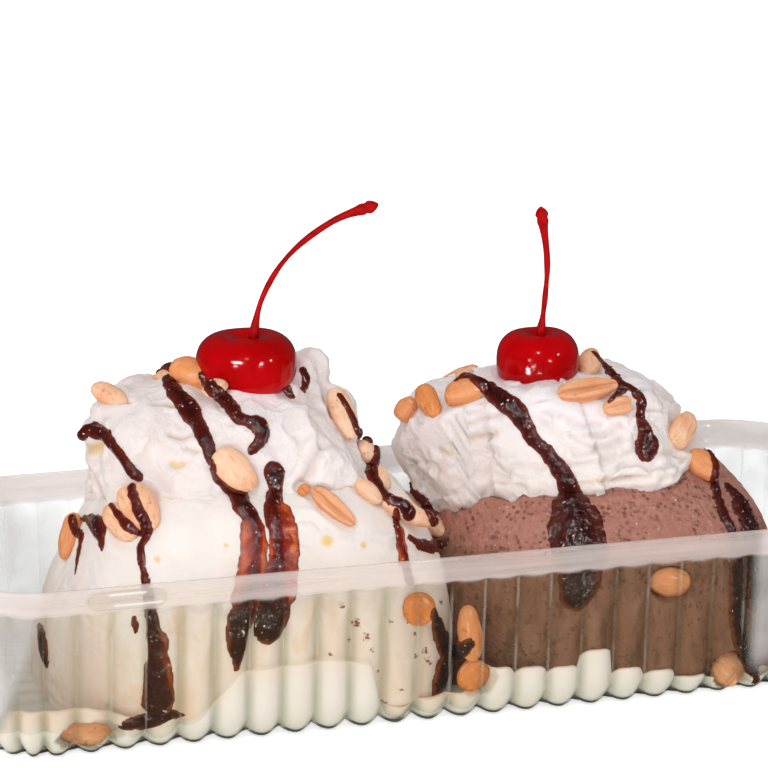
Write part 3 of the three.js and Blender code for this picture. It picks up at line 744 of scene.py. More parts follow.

# Scoops and cream. A lump or a fluff raises the surface, a crease cuts into it, and a hem is where cream ends
# on the scoop below it. Fluffs, creases, hems and spots are aimed over the picture and land on what is seen
# there. A lump is azimuth, rise, height and spread, a fluff or spot is x, y, radius and height, and a crease
# is its way, depth, width and tint. On the cream, painted shade goes into the creases and the tint is yellow;
# on the chocolate, the tint is a painted shadow under the cream's hem.
mounds = {
    "vanilla": {
        "centre": (-38, 0, 1.3), "half": (46, 41, 56), "power": 2.9, "below": 4, "rises": (62, -2, 150),
        "lumps": [(-60, 20, 1.2, 25), (60, 25, 1.5, 28), (152, 44, -5.5, 26), (-168, 40, -2.5, 16)],
        "inBoat": True,
        "spots": [(327, 541, 1.4), (364, 545, 0.8), (179, 446, 1), (158, 560, 0.7), (226, 545, 0.6)],
        "specks": [(342, 605, 0.8), (355, 623, 1.2), (367, 637, 1.1), (391, 621, 0.5), (408, 621, 0.7),
                   (439, 602, 1), (416, 656, 0.6), (425, 651, 0.8), (427, 660, 0.8), (377, 672, 0.5),
                   (383, 704, 1.5), (388, 712, 1.2), (414, 634, 0.5), (431, 664, 0.5), (349, 640, 0.4),
                   (372, 650, 0.5), (400, 690, 0.6), (330, 655, 0.4)],
        "creases": [],
    },
    "chocolate": {
        "centre": (45, 0, 1.3), "half": (44, 42, 54), "power": 2.3, "below": 4, "rises": (62, -2, 150),
        "lumps": [(-30, 40, 1.0, 18), (100, 30, 1.5, 30), (-75, 48, 0.8, 12), (24, 44, -2.2, 20)],
        "inBoat": True,
        "creases": [([(625, 612), (632, 640), (626, 662), (650, 645)], 0.8, 1.2, 0),
                    ([(472, 500), (480, 494), (492, 491), (510, 495)], 1.8, 1.5, 1.0),
                    ([(510, 497), (540, 495), (570, 494)], 0.5, 0.8, 0.5),
                    ([(585, 494), (603, 495), (612, 490), (650, 490), (672, 486), (686, 476)],
                     0.5, 0.8, 0.55),
                    ([(452, 511), (464, 508), (474, 502)], 0.6, 0.9, 0.6)],
    },
    "creamLeft": {
        "centre": (-40, -1, 50), "half": (34, 31, 22), "power": 2.5, "below": 7, "rises": (80, -25, 176),
        "lumps": [(15, 55, 3, 16), (5, 20, 1, 16), (-60, 8, 1.4, 14), (-100, 60, 1.8, 15)],
        "folds": (2.5, 1, 1), "over": "vanilla", "hemRise": 9, "hemThick": 0.6, "hemStep": 4, "hemBack": 44,
        "hem": [(74, 492), (92, 503), (130, 506), (168, 506), (200, 509), (240, 505), (285, 503), (320, 500),
                (350, 495), (378, 478)],
        "fluffs": [(311, 362, 4.6, 4.2), (303, 372, 3, 1.5), (350, 402, 4.4, 3.4), (345, 422, 4, 2.2),
                   (332, 466, 6, 2.6), (318, 452, 3, 1.2), (352, 478, 3.5, 1.6), (128, 392, 5, 1.2),
                   (92, 440, 4, 1.4), (84, 500, 5, 1.6), (240, 425, 9, 1.0), (300, 415, 6, 1.2),
                   (144, 430, 6, 1.2), (112, 480, 5, 1.4), (228, 397, 4, 1.8), (247, 395, 5, 2.4),
                   (268, 391, 5, 2.4), (287, 384, 4, 2)],
        "creases": [([(322, 443), (313, 458), (309, 472), (300, 486)], 1.6, 1.1, 0.1),
                    ([(300, 486), (318, 491), (338, 496), (352, 491)], 0.8, 0.9, 0.1),
                    ([(163, 398), (160, 425), (164, 452), (162, 480)], 0.8, 2.4, 0),
                    ([(100, 420), (104, 440), (98, 462)], 1.0, 2.2, 0),
                    ([(96, 478), (101, 490), (108, 501)], 0.9, 1.0, 0.8),
                    ([(83, 447), (92, 450), (103, 447)], 1.4, 1.3, 1.2),
                    ([(122, 402), (126, 401), (131, 402)], 0.6, 0.6, 0.4),
                    ([(154, 404), (164, 402), (173, 405)], 0.8, 0.7, 0.5),
                    ([(171, 433), (181, 437), (191, 434)], 0.7, 0.7, 0.4),
                    ([(187, 448), (197, 450)], 0.5, 0.7, 0.4),
                    ([(172, 463), (177, 466), (182, 464)], 0.5, 1.0, 0.9),
                    ([(166, 499), (185, 504), (200, 503), (216, 505)], 0.8, 0.6, 0.9),
                    ([(165, 517), (176, 516), (186, 512)], 0.5, 0.5, 0.7),
                    ([(272, 408), (280, 424), (276, 440)], 0.5, 2.4, 0),
                    ([(302, 380), (312, 394), (310, 410), (318, 424)], 0.9, 1.6, 0.1),
                    ([(328, 388), (326, 402), (333, 414)], 0.8, 1.0, 0.3),
                    ([(134, 410), (140, 424), (137, 440)], 0.5, 1.8, 0),
                    ([(186, 395), (180, 418), (184, 432)], 0.4, 1.8, 0),
                    ([(146, 458), (152, 474), (150, 490)], 0.6, 2.0, 0),
                    ([(287, 395), (296, 404), (297, 420)], 0.4, 1.4, 0),
                    ([(84, 468), (90, 480), (87, 494)], 0.8, 1.2, 0.4)],
    },
    "creamRight": {
        "centre": (34, -1, 48), "half": (35, 31, 20), "power": 2.3, "below": 6, "rises": (80, -25, 176),
        "lumps": [(-150, -12, 2, 18), (-40, 20, 1.5, 16), (60, 30, 2, 22), (-100, 60, 1.6, 15)],
        "folds": (3, 1, 1), "over": "chocolate", "hemRise": 6, "hemThick": 2.6, "hemStep": 0.9, "hemBack": 42,
        "hem": [(392, 478), (402, 500), (420, 512), (432, 517), (440, 510), (455, 508), (470, 505),
                (478, 494), (490, 490), (500, 495), (520, 494), (548, 493), (580, 493), (603, 493),
                (606, 487), (630, 487), (650, 488), (661, 485), (672, 484), (680, 477), (688, 472),
                (700, 462)],
        "fluffs": [(632, 383, 3.6, 1.6), (656, 408, 3.4, 1.8), (450, 478, 6, 1.4), (424, 494, 4, 1.6),
                   (420, 440, 5, 1.0), (530, 475, 6, 0.8), (655, 470, 6, 1.4), (600, 470, 6, 0.8),
                   (560, 402, 6, 0.8), (470, 420, 5, 0.8)],
        "creases": [([(455, 433), (470, 424), (486, 418), (501, 414)], 0.8, 0.7, 0.35),
                    ([(450, 446), (466, 441), (482, 437), (496, 433)], 0.8, 0.8, 0.6),
                    ([(446, 424), (462, 415), (480, 411)], 0.5, 0.6, 0.3),
                    ([(412, 451), (421, 453)], 0.6, 0.8, 0.3),
                    ([(439, 452), (452, 455)], 0.6, 0.8, 0.7),
                    ([(436, 468), (443, 472)], 0.6, 0.9, 0.7),
                    ([(458, 458), (478, 455), (495, 459)], 0.5, 1.2, 0),
                    ([(575, 455), (598, 450), (620, 440)], 0.6, 0.9, 0),
                    ([(604, 483), (625, 479), (650, 475)], 0.8, 0.8, 0.4),
                    ([(580, 483), (606, 480)], 0.5, 0.7, 0.5),
                    ([(500, 470), (506, 482), (520, 487)], 0.7, 1.4, 0),
                    ([(410, 462), (420, 474), (418, 490)], 0.8, 1.2, 0),
                    ([(560, 415), (580, 424), (600, 425)], 0.6, 0.9, 0),
                    ([(585, 436), (606, 432), (622, 424)], 0.6, 0.8, 0),
                    ([(650, 455), (668, 452), (684, 456)], 0.7, 1.0, 0),
                    ([(470, 478), (486, 472), (492, 460)], 0.6, 1.4, 0),
                    ([(646, 470), (663, 468), (676, 464)], 0.6, 1.1, 0),
                    ([(566, 466), (590, 462), (616, 458), (640, 448)], 0.6, 0.8, 0),
                    ([(570, 436), (590, 446), (612, 447)], 0.5, 0.7, 0),
                    ([(424, 462), (446, 466), (470, 468)], 0.6, 0.8, 0),
                    ([(540, 425), (556, 436), (566, 452)], 0.4, 1.2, 0)],
    },
}
moundColumns = 420


def reachOf(spec, way):
    halfX, halfY, halfZ = spec["half"]
    depth = np.where(way[:, 2] < 0, spec["below"], halfZ)
    power = spec["power"]
    total = np.abs(way[:, 0] / halfX) ** power + np.abs(way[:, 1] / halfY) ** power + \
        np.abs(way[:, 2] / depth) ** power
    distance = total ** (-1 / power)
    for azimuth, rise, height, spread in spec["lumps"]:
        away = np.degrees(np.arccos(np.clip(way @ direction(azimuth, rise), -1, 1)))
        distance = distance + height * np.exp(-((away / spread) ** 2))
    if "folds" in spec:
        turns, climb, fold = spec["folds"]
        rise = np.arcsin(np.clip(way[:, 2], -1, 1))
        turn = np.arctan2(way[:, 1], way[:, 0])
        distance = distance + fold * np.cos(rise) * np.sin(4 * turns * rise + climb * turn)
    return distance


# What keeps off the wall: everywhere, further in over the foot, and less above the band.
wallRoom = {"clear": 0.3, "overFoot": 2.6, "aboveBand": 1.6}


# Keeps points inside the fluted wall of the boat. Returns them with how free each one is of the wall, 0 to 1.
def keepInBoat(points):
    skin = skinRadius(np.clip(points[:, 2], boat["wall"], bandFoot), boat["wall"])
    radius = skin - fluteSag(points) - wallRoom["clear"]
    radius = radius - wallRoom["overFoot"] * smoothStep(-points[:, 2], -7, -2.5)
    above = smoothStep(points[:, 2], bandFoot - 1, bandFoot + 2)
    radius = radius + above * wallRoom["aboveBand"]
    near = np.clip(points[:, :2], (-coreX, -coreY), (coreX, coreY))
    away = points[:, :2] - near
    distance = np.linalg.norm(away, axis=1)
    scale = np.minimum(1, radius / np.maximum(distance, 1e-6))
    points = points.copy()
    points[:, :2] = near + away * scale[:, None]
    return points, smoothStep(radius - distance, -0.5, 1.5)


# The plain form of a mound as points, faces and how free each point is of the wall.
def plainMound(name):
    spec = mounds[name]
    highRise, lowRise, fineRows = spec["rises"]
    top = np.linspace(89.2, highRise, 22)[:-1]
    bottom = np.linspace(lowRise, -89, 16)[1:]
    rises = np.concatenate([top, np.linspace(highRise, lowRise, fineRows), bottom])
    azimuths = np.arange(moundColumns) * 360 / moundColumns
    rise, azimuth = np.meshgrid(rises, azimuths, indexing="ij")
    way = np.concatenate([direction(azimuth.ravel(), rise.ravel()), [[0, 0, 1], [0, 0, -1]]])
    points = way * reachOf(spec, way)[:, None] + np.array(spec["centre"])
    free = np.ones(len(points))
    if spec.get("inBoat"):
        points, free = keepInBoat(points)
        points[:, 2] = np.maximum(points[:, 2], boat["wall"] + 0.2)
    return points, closedFaces(len(rises), moundColumns), free


def treeOf(points, faces):
    return BVHTree.FromPolygons(np.asarray(points).tolist(), faces)


# Where a place of the picture lands on a surface, in millimetres. From beside it, the search moves in
# towards its middle.
def landing(tree, x, y, middle=None):
    for _ in range(30):
        origin, way = sightLine(x, y)
        hit, normal = tree.ray_cast(origin / mm, way)[:2]
        if hit is not None or middle is None:
            return hit, normal
        away = math.hypot(middle[0] - x, middle[1] - y)
        x, y = x + (middle[0] - x) / away * 2, y + (middle[1] - y) / away * 2
    return None, None


# The place in the picture of a point in millimetres.
def inPicture(point):
    local = camera.rotation_quaternion.inverted() @ (Vector(point) * mm - camera.location)
    scale = view["lens"] / view["sensor"] * view["pixels"] / -local.z
    return view["pixels"] / 2 + local.x * scale, view["pixels"] / 2 - local.y * scale


def landings(tree, places, middle):
    found = [landing(tree, x, y, middle)[0] for x, y in places]
    return np.array([hit for hit in found if hit is not None])


def nearestTo(points, targets):
    best = np.full(len(points), 1e9)
    for target in targets:
        best = np.minimum(best, ((points - target) ** 2).sum(1))
    return np.sqrt(best)


hemTuck = 1.6      # how far cream dips under the scoop's surface below its hem
nutLean = 0.55     # how much a nut on a mound is tipped towards the front


# Thins cream towards its hem, so that it lies on the scoop and ends there.
def pressOn(name, points):
    spec = mounds[name]
    host = mounds[spec["over"]]
    line = landings(bareTrees[spec["over"]], smoothLine(spec["hem"], 60), middles[name])
    turn = np.degrees(np.arctan2(line[:, 1] - spec["centre"][1], line[:, 0] - spec["centre"][0]))
    order = np.argsort(turn)
    back = np.arange(turn.max() + 15, turn.min() + 346, 15)
    turns = np.concatenate([turn[order], back])
    heights = np.concatenate([line[order, 2], np.full(len(back), float(spec["hemBack"]))])
    out = points - np.array(host["centre"])
    distance = np.linalg.norm(out, axis=1)
    way = out / distance[:, None]
    reach = reachOf(host, way)
    # where each point would lie on the scoop
    landed = way * reach[:, None] + np.array(host["centre"])
    own = np.degrees(np.arctan2(landed[:, 1] - spec["centre"][1], landed[:, 0] - spec["centre"][0]))
    hem = np.interp(own, turns, heights, period=360)
    over = distance - reach
    thin = smoothStep(landed[:, 2], hem - 0.4, hem + spec["hemStep"])
    full = smoothStep(landed[:, 2], hem, hem + spec["hemRise"])
    pressed = np.maximum(over * full, np.minimum(over, spec["hemThick"]) * thin) - hemTuck * (1 - thin)
    pressed = np.where(over < -hemTuck, over, pressed)
    return points + way * (pressed - over)[:, None]


bare = {name: list(plainMound(name)) for name in mounds}
bareTrees = {name: treeOf(bare[name][0], bare[name][1]) for name in mounds}
middles = {name: inPicture(np.array(spec["centre"]) + (0, 0, 6)) for name, spec in mounds.items()}
for name in ("creamLeft", "creamRight"):
    points = pressOn(name, bare[name][0])
    bareTrees[name] = treeOf(points, bare[name][1])
    out = points - np.array(mounds[name]["centre"])
    out /= np.linalg.norm(out, axis=1)[:, None]
    for x, y, radius, height in mounds[name]["fluffs"]:
        hit = landing(bareTrees[name], x, y, middles[name])[0]
        if hit is not None:
            away = np.linalg.norm(points - np.array(hit), axis=1)
            points = points + out * (height * np.exp(-((away / radius) ** 3)))[:, None]
    bare[name][0] = points
    bareTrees[name] = treeOf(points, bare[name][1])
print("plain mounds made")

# Peanuts: over the picture the two ends of each, then width, thickness, form, roast and how far it stands
# out as a share of its thickness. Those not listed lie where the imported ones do.
nutViews = {
    "peanut_01": (94, 388, 128, 405, 4.8, 4.4, "shut", 0.25, 0.2),
    "peanut_02": (171, 371, 221, 389, 7.6, 6.0, "shut", 0.85, 0.4),
    "peanut_04": (216, 451, 254, 489, 7.2, 4.6, "shut", 0.2, 0.35),
    "peanut_05": (127, 489, 156, 531, 8.0, 5.0, "shut", 0.35, 0.35),
    "peanut_06": (109, 508, 136, 541, 6.0, 4.4, "shut", 0.3, 0.3),
    "peanut_07": (79, 514, 66, 561, 5.0, 4.2, "shut", 0.8, 0.35),
    "peanut_08": (312, 490, 354, 526, 4.4, 3.6, "open", 0.6, 0.3),
    "peanut_09": (300, 485, 309, 496, 2.6, 2.0, "chipped", 1.0, 0.2),
    "peanut_10": (332, 390, 351, 441, 5.6, 4.2, "shut", 0.0, 0.35),
    "peanut_11": (356, 444, 373, 464, 4.8, 4.2, "shut", 0.05, 0.35),
    "peanut_12": (377, 468, 386, 491, 3.2, 3.0, "shut", 0.1, 0.3),
    "peanut_13": (354, 482, 380, 503, 3.8, 3.4, "shut", 0.15, 0.3),
    "peanut_14": (403, 498, 453, 538, 5.6, 4.6, "shut", 0.15, 0.7),
    "peanut_15": (379, 503, 429, 527, 5.0, 4.4, "shut", 0.15, 0.5),
    "peanut_22": (402, 422, 418, 401, 5.2, 4.8, "shut", 0.8, 0.4),
    "peanut_23": (423, 391, 438, 421, 5.0, 4.6, "shut", 0.95, 0.45),
    "peanut_24": (447, 401, 489, 391, 6.8, 5.6, "shut", 0.8, 0.4),
    "peanut_25": (457, 378, 475, 375, 3.0, 2.6, "shut", 0.3, 0.4),
    "peanut_26": (584, 379, 592, 354, 5.2, 4.2, "shut", 0.3, 0.45),
    "peanut_27": (557, 399, 616, 388, 5.8, 4.6, "open", 0.6, 0.4),
    "peanut_28": (603, 411, 637, 402, 4.2, 3.8, "chipped", 0.5, 0.35),
    "peanut_29": (670, 447, 688, 415, 6.4, 4.4, "shut", 0.3, 0.4),
    "peanut_30": (687, 455, 715, 481, 6.6, 4.6, "shut", 0.8, 0.4),
}
nutKinds = ["open", "shut", "whole", "chipped"]
# these lie a little deeper in the corner of the wall
wallShift = {"peanut_16": (0.4, -0.6, -1.0), "peanut_19": (1.1, -0.4, -1.1), "peanut_21": (1.0, -0.4, -1.6)}
wallRoast = {"peanut_16": 0.6, "peanut_17": 1.0, "peanut_18": 0.85, "peanut_19": 0.95, "peanut_20": 0.75,
             "peanut_21": 0.6}


# Middle, axes and size of a packed nut, from its own mesh: X along it, Z out of what it lies on.
def packedNut(name):
    points = meshArrays(nodes[name]) / mm
    middle = (points.max(0) + points.min(0)) / 2
    for _ in range(3):
        spread = points - middle
        axes = np.linalg.eigh(spread.T @ spread)[1][:, ::-1]
        reach = spread @ axes
        middle = middle + axes @ ((reach.max(0) + reach.min(0)) / 2)
    reach = (points - middle) @ axes
    size = reach.max(0) - reach.min(0)
    atWall = middle[1] < -30 and middle[2] < 32
    body = min(("vanilla", "chocolate"), key=lambda n: abs(mounds[n]["centre"][0] - middle[0]))
    inside = np.array([middle[0], 0, middle[2]] if atWall else [mounds[body]["centre"][0], 0, 30])
    long, thick = axes[:, 0], axes[:, 2]
    if thick @ (middle - inside) < 0:
        thick = -thick
    return middle, np.column_stack([long, np.cross(thick, long), thick]), size, atWall


# A nut aimed over the picture: it lies on the mound there, tipped a little towards the front.
def aimedNut(spec):
    startX, startY, endX, endY, width, thickness = spec[:6]
    centreX, centreY = (startX + endX) / 2, (startY + endY) / 2
    origin, ahead = sightLine(centreX, centreY)
    best = None
    for tree in bareTrees.values():
        hit, normal = tree.ray_cast(origin / mm, ahead)[:2]
        if hit is not None and (best is None or (hit - origin / mm).length < (best[0] - origin / mm).length):
            best = hit, normal
    if best is None:
        name = "creamLeft" if centreX < 384 else "creamRight"
        best = landing(bareTrees[name], centreX, centreY, middles[name])
    hit, normal = np.array(best[0]), np.array(best[1])
    if normal @ np.array(ahead) > 0:
        normal = -normal
    outward = normal - nutLean * np.array(ahead)
    outward /= np.linalg.norm(outward)
    start, end = (sightLine(x, y)[1] for x, y in ((startX, startY), (endX, endY)))
    reach = np.linalg.norm(hit - np.array(origin) / mm)
    span = np.array(end / end.dot(ahead) - start / start.dot(ahead)) * reach
    span = span - np.array(ahead) * (span @ outward) / (np.array(ahead) @ outward)
    length = np.linalg.norm(span)
    along = span / length
    middle = hit + outward * thickness * (spec[8] - 0.1)
    axes = np.column_stack([along, np.cross(outward, along), outward])
    return middle, axes, np.array([length, width, thickness])


def placeNuts():
    placed = []
    draw = np.random.default_rng(11)
    for name in sorted(n for n in nodes if n.startswith("peanut_")):
        middle, axes, size, atWall = packedNut(name)
        kind, roast = int(draw.integers(0, 4)), draw.uniform(0, 0.9)
        if name in nutViews:
            middle, axes, size = aimedNut(nutViews[name])
            kind, roast = nutKinds.index(nutViews[name][6]), nutViews[name][7]
        elif atWall:
            kind, roast = 2, wallRoast.get(name, roast)
            middle = middle + np.array(wallShift.get(name, (0, 0, 0)))
        placed.append({"name": name, "middle": middle, "axes": axes, "size": size, "kind": kind,
                       "roast": roast, "atWall": atWall})
    return placed


nuts = placeNuts()


# Room round a nut at the wall, in its own half sizes: more above it, where the slanting view needs it. Inside
# the core, what is in front of the nut goes back to just behind its middle, and out to the edge ever less so.
nutRoom = {"above": 1.5, "below": 1.2, "core": 0.95, "behind": 0.3, "slope": 9, "near": 12}


# Pushes what would hide a nut at the wall back behind the middle of the nut.
def makeRoom(points):
    points = points.copy()
    for nut in nuts:
        if nut["atWall"]:
            middle, half = nut["middle"], nut["size"] / 2
            near = np.clip(middle[:2], (-coreX, -coreY), (coreX, coreY))
            outward = np.append((middle[:2] - near) / np.linalg.norm(middle[:2] - near), 0)
            tangent = np.array([-outward[1], outward[0], 0])
            wide = np.linalg.norm((tangent @ nut["axes"]) * half)
            tall = np.linalg.norm((np.array([0.0, 0, 1]) @ nut["axes"]) * half)
            away = points - middle
            off = np.hypot(away @ tangent / wide, away[:, 2] / tall)
            edge = np.where(away[:, 2] > 0, nutRoom["above"], nutRoom["below"])
            toEdge = smoothStep((off - nutRoom["core"]) / (edge - nutRoom["core"]), 0, 1)
            limit = nutRoom["slope"] * toEdge - nutRoom["behind"]
            front = away @ outward
            beyond = np.where((off < edge) & (np.abs(front) < nutRoom["near"]), front - limit, 0)
            points = points - np.maximum(beyond, 0)[:, None] * outward
    return points


# Melted ice cream.
pool = {"depth": 3.2, "backBank": 9, "intoWall": 0.45, "lobe": 1.5,
        # height of the bank along the front wall: x, z
        "frontBank": [(-108, 10), (-97, 11), (-80, 11), (-72, 8.4), (-66, 6), (-61, 8), (-55, 11.6),
                      (-47, 21), (-27, 22), (-18, 20), (-14, 5), (-9, 3.8), (-6, 5.6), (7, 6.4), (9, 12),
                      (31, 10.4), (33, 14), (38, 14), (40, 9), (46, 8.6), (54, 6), (61, 4.2), (70, 3.4),
                      (100, 4)]}


def meltedPool():
    columns = boat["flutes"] * boat["columnsPerFlute"]
    share = np.arange(columns) / columns
    middle, outward = roundTheCore(share)
    x = middle[:, 0] + outward[:, 0] * boat["cornerRadius"]
    front = (middle[:, 1] + outward[:, 1] * boat["cornerRadius"]) < 0
    xs, zs = zip(*pool["frontBank"])
    crest = np.abs(np.sin(np.pi * np.arange(columns) / boat["columnsPerFlute"]))
    each = boat["columnsPerFlute"]
    steady = x[np.arange(columns) // each * each + each // 2]
    frontTop = np.interp(np.where(x > 8, steady, x), xs, zs)
    top = np.where(front, frontTop, pool["backBank"] + 1.5 * np.sin(x / 13))
    onVanilla = front * smoothStep(-x, -9, -4)
    top = top - pool["lobe"] * (1 - crest) ** 2 * (1 - onVanilla)
    low = boat["wall"] - 0.3
    rows = []
    # out along the floor, up the wall to the top line, over the bank and back along the pool
    for k in range(4):
        rows.append((np.full(columns, footFlat * (k + 1) / 4), np.full(columns, low), 0.6 * k / 3))
    for k in range(1, 15):
        z = low + (top - low) * (k / 14) ** 1.3
        weight = np.clip(0.6 + 0.4 * z / 2.5, 0.6, 1)
        rows.append((skinRadius(z, pool["intoWall"]), z, weight))
    for k, (inset, sink) in enumerate([(0.5, -0.25), (1.2, -0.2), (2.2, 0.1), (3.4, 0.8)]):
        z = np.maximum(top - sink, pool["depth"] * 0.8)
        rows.append((skinRadius(z, pool["intoWall"]) - inset, z, 0.8 - 0.2 * k))
    for inset in (4.6, 6.0):
        z = np.full(columns, pool["depth"])
        rows.append((skinRadius(z, 0) - inset, z, 0))
    for part in (0.7, 0.3):
        rows.append((np.full(columns, footFlat * part), np.full(columns, float(pool["depth"])), 0))
    points, weights, edges = [], [], []
    for radius, z, weight in rows:
        below = np.broadcast_to(z, columns) - top
        radius = radius - onVanilla * 1.4 * smoothStep(below, -7, 0)
        edges.append(smoothStep(below / top, -0.2 - 0.35 * onVanilla, 0) * (0.5 + 0.5 * onVanilla))
        spread = np.minimum(1, radius / footFlat)[:, None]
        flat = middle * spread + outward * radius[:, None]
        points.append(np.column_stack([flat, z]))
        weights.append(np.broadcast_to(weight, columns))
    points = makeRoom(np.concatenate(points))
    points = np.concatenate([points, [[0, 0, low], [0, 0, pool["depth"]]]])
    phase = np.tile(np.arange(columns) / boat["columnsPerFlute"], len(rows))
    normals = np.tile(np.column_stack([outward, np.zeros(columns)]), (len(rows), 1))
    made = meshObject("melted_pool", points, closedFaces(len(rows), columns),
                      fluting=np.concatenate(weights + [[0, 0]]),
                      flutePhase=np.concatenate([phase, [0.5, 0.5]]),
                      outward=np.concatenate([normals, np.zeros((2, 3))]),
                      edge=np.concatenate(edges + [np.zeros(2)]),
                      foot=footShare(points) * (points[:, 2] < top.max()),
                      groove=np.concatenate([np.tile(1 - crest, len(rows)), np.zeros(2)]))
    checkOutward(made)
    return made


poolPiece = grow(meltedPool(), geometryTree("melt in flutes", fluting, flutingNodes, melt), fluting)
settled(poolPiece, "melted_ice_cream", "melted_ice_cream")
print("melted ice cream made")

# Relief of ice cream and cream: broad lumps, folds with one steep side, fine grain and small pits. It also
# keeps where the materials paint shade, in hollows and pits.
def reliefNodes(tree, given):
    here = wire(tree, "GeometryNodeInputPosition").outputs[0]
    here = vectorCalc(tree, "ADD", here, given["Shift"])
    normal = wire(tree, "GeometryNodeInputNormal").outputs[0]
    free = named(tree, "free")
    stroke = named(tree, "stroke")
    lump = minus(tree, noiseOf(tree, here, calc(tree, "DIVIDE", 1.0, given["Lump Size"]), 1.5), 0.5)
    lump = times(tree, lump, given["Lump Height"])
    rate = calc(tree, "DIVIDE", 1.0, given["Fold Size"])
    warp = noiseOf(tree, here, times(tree, rate, 0.45), 2)
    phase = times(tree, vectorCalc(tree, "DOT_PRODUCT", here, given["Fold Way"]), rate)
    phase = calc(tree, "FRACT", plus(tree, phase, times(tree, warp, 5.0)))
    ledge = calc(tree, "MINIMUM", ranged(tree, phase, 0.0, 0.8), ranged(tree, phase, 1.0, 0.84))
    where = ranged(tree, noiseOf(tree, vectorCalc(tree, "ADD", here, (0.3, 0.1, 0.2)),
                                 times(tree, rate, 0.5), 1), 0.42, 0.6)
    fold = times(tree, minus(tree, ledge, 0.5), given["Fold Height"])
    fold = times(tree, fold, where)
    grain = minus(tree, noiseOf(tree, here, calc(tree, "DIVIDE", 1.0, given["Grain Size"]), 3), 0.5)
    grain = times(tree, grain, given["Grain Height"])
    cells = wire(tree, "ShaderNodeTexVoronoi", {"Vector": here, "Scale": calc(
        tree, "DIVIDE", 1.0, given["Pit Size"])}, feature="F1").outputs["Distance"]
    pitted = ranged(tree, noiseOf(tree, here, calc(tree, "DIVIDE", 0.25, given["Pit Size"]), 1), 0.45, 0.6)
    pit = times(tree, times(tree, ranged(tree, cells, 0.5, 0.12), pitted), given["Pit Depth"])
    height = plus(tree, plus(tree, lump, fold), minus(tree, grain, pit))
    height = times(tree, height, free)
    offset = scaled(tree, normal, plus(tree, height, stroke))
    # hollow: where the cream paints shade, on the low side of each fold and in the creases
    hollow = times(tree, times(tree, ranged(tree, ledge, 0.4, 0.0), where), 0.6)
    hollow = times(tree, hollow, free)
    dented = named(tree, "dented")
    hollow = calc(tree, "MAXIMUM", hollow, dented)
    kept = stored(tree, given["Geometry"], "hollow", hollow)
    # pit: where the chocolate paints shade into its pits
    pitShare = times(tree, ranged(tree, cells, 0.45, 0.1), times(tree, pitted, free))
    return moved(tree, stored(tree, kept, "pit", pitShare), offset)


relief = {
    "vanilla": {"Lump Height": 2.4, "Lump Size": 15.0, "Fold Height": 0.4, "Fold Size": 7.0,
                "Fold Way": (0.2, 0.3, 1.0), "Grain Height": 0.25, "Grain Size": 1.6, "Pit Depth": 0.25,
                "Pit Size": 2.4, "Shift": (0.0, 0.0, 0.0)},
    "chocolate": {"Lump Height": 2.0, "Lump Size": 14.0, "Fold Height": 0.4, "Fold Size": 5.0,
                  "Fold Way": (0.4, 0.2, 1.0), "Grain Height": 0.8, "Grain Size": 1.3, "Pit Depth": 0.5,
                  "Pit Size": 1.4, "Shift": (0.1, 0.0, 0.0)},
    "creamLeft": {"Lump Height": 3.6, "Lump Size": 11.0, "Fold Height": 0.8, "Fold Size": 9.0,
                  "Fold Way": (1.0, 0.2, 0.4), "Grain Height": 0.8, "Grain Size": 2.2, "Pit Depth": 0.0,
                  "Pit Size": 3.0, "Shift": (0.02, 0.05, 0.0)},
    "creamRight": {"Lump Height": 2.6, "Lump Size": 12.0, "Fold Height": 1.1, "Fold Size": 5.5,
                   "Fold Way": (-0.35, 0.2, 1.0), "Grain Height": 0.7, "Grain Size": 2.0, "Pit Depth": 0.0,
                   "Pit Size": 3.0, "Shift": (0.07, 0.01, 0.0)},
}
unitless = ("Fold Way", "Shift")


# How close points are to a list of spots aimed over the picture, 1 in the middle of a spot and 0 outside it.
def spotted(name, points, spots):
    share = np.zeros(len(points))
    for x, y, radius in spots:
        hit = landing(bareTrees[name], x, y)[0]
        if hit is not None:
            away = np.linalg.norm((points - np.array(hit)), axis=1)
            share = np.maximum(share, smoothStep(-away, -radius * 1.25, -radius * 0.5))
    return share


def makeMound(name, pieceName, material, slot, node):
    spec = mounds[name]
    points, faces, free = bare[name]
    points = makeRoom(points)
    stroke, dented, tintAndShadow = np.zeros(len(points)), np.zeros(len(points)), np.zeros(len(points))
    # dented marks the crease cuts, where the cream paints shade; the tint is yellow on the cream and a
    # painted shadow on the chocolate
    for way, depth, width, tint in spec["creases"]:
        away = nearestTo(points, landings(bareTrees[name], smoothLine(way, 30), middles[name]))
        cut = np.exp(-((away / width) ** 2))
        stroke += depth * (0.3 * np.exp(-(((away - 2.2 * width) / width) ** 2)) - cut)
        dented = np.maximum(dented, cut * min(1, depth / width))
        tintAndShadow = np.maximum(tintAndShadow, cut * tint)
    stroke *= 0.15 + 0.85 * free
    for nut in nuts:
        away = np.linalg.norm(((points - nut["middle"]) @ nut["axes"]) / (nut["size"] / 2), axis=1)
        free = free * (1 - 0.95 * smoothStep(-away, -1.9, -1.05))
        stroke -= (0.0 if nut["atWall"] else 0.35) * smoothStep(-away, -1.6, -1.1)
    made = meshObject(name, points, faces, free=free, stroke=stroke * mm, dented=dented, tint=tintAndShadow,
                      spot=spotted(name, points, spec.get("spots", [])),
                      speck=spotted(name, points, spec.get("specks", [])))
    checkOutward(made)
    values = {key: value if key in unitless else value * mm for key, value in relief[name].items()}
    tree = geometryTree("relief " + name, values, reliefNodes, material)
    piece = grow(made, tree, values)
    piece.name = pieceName
    return settled(piece, slot, node)


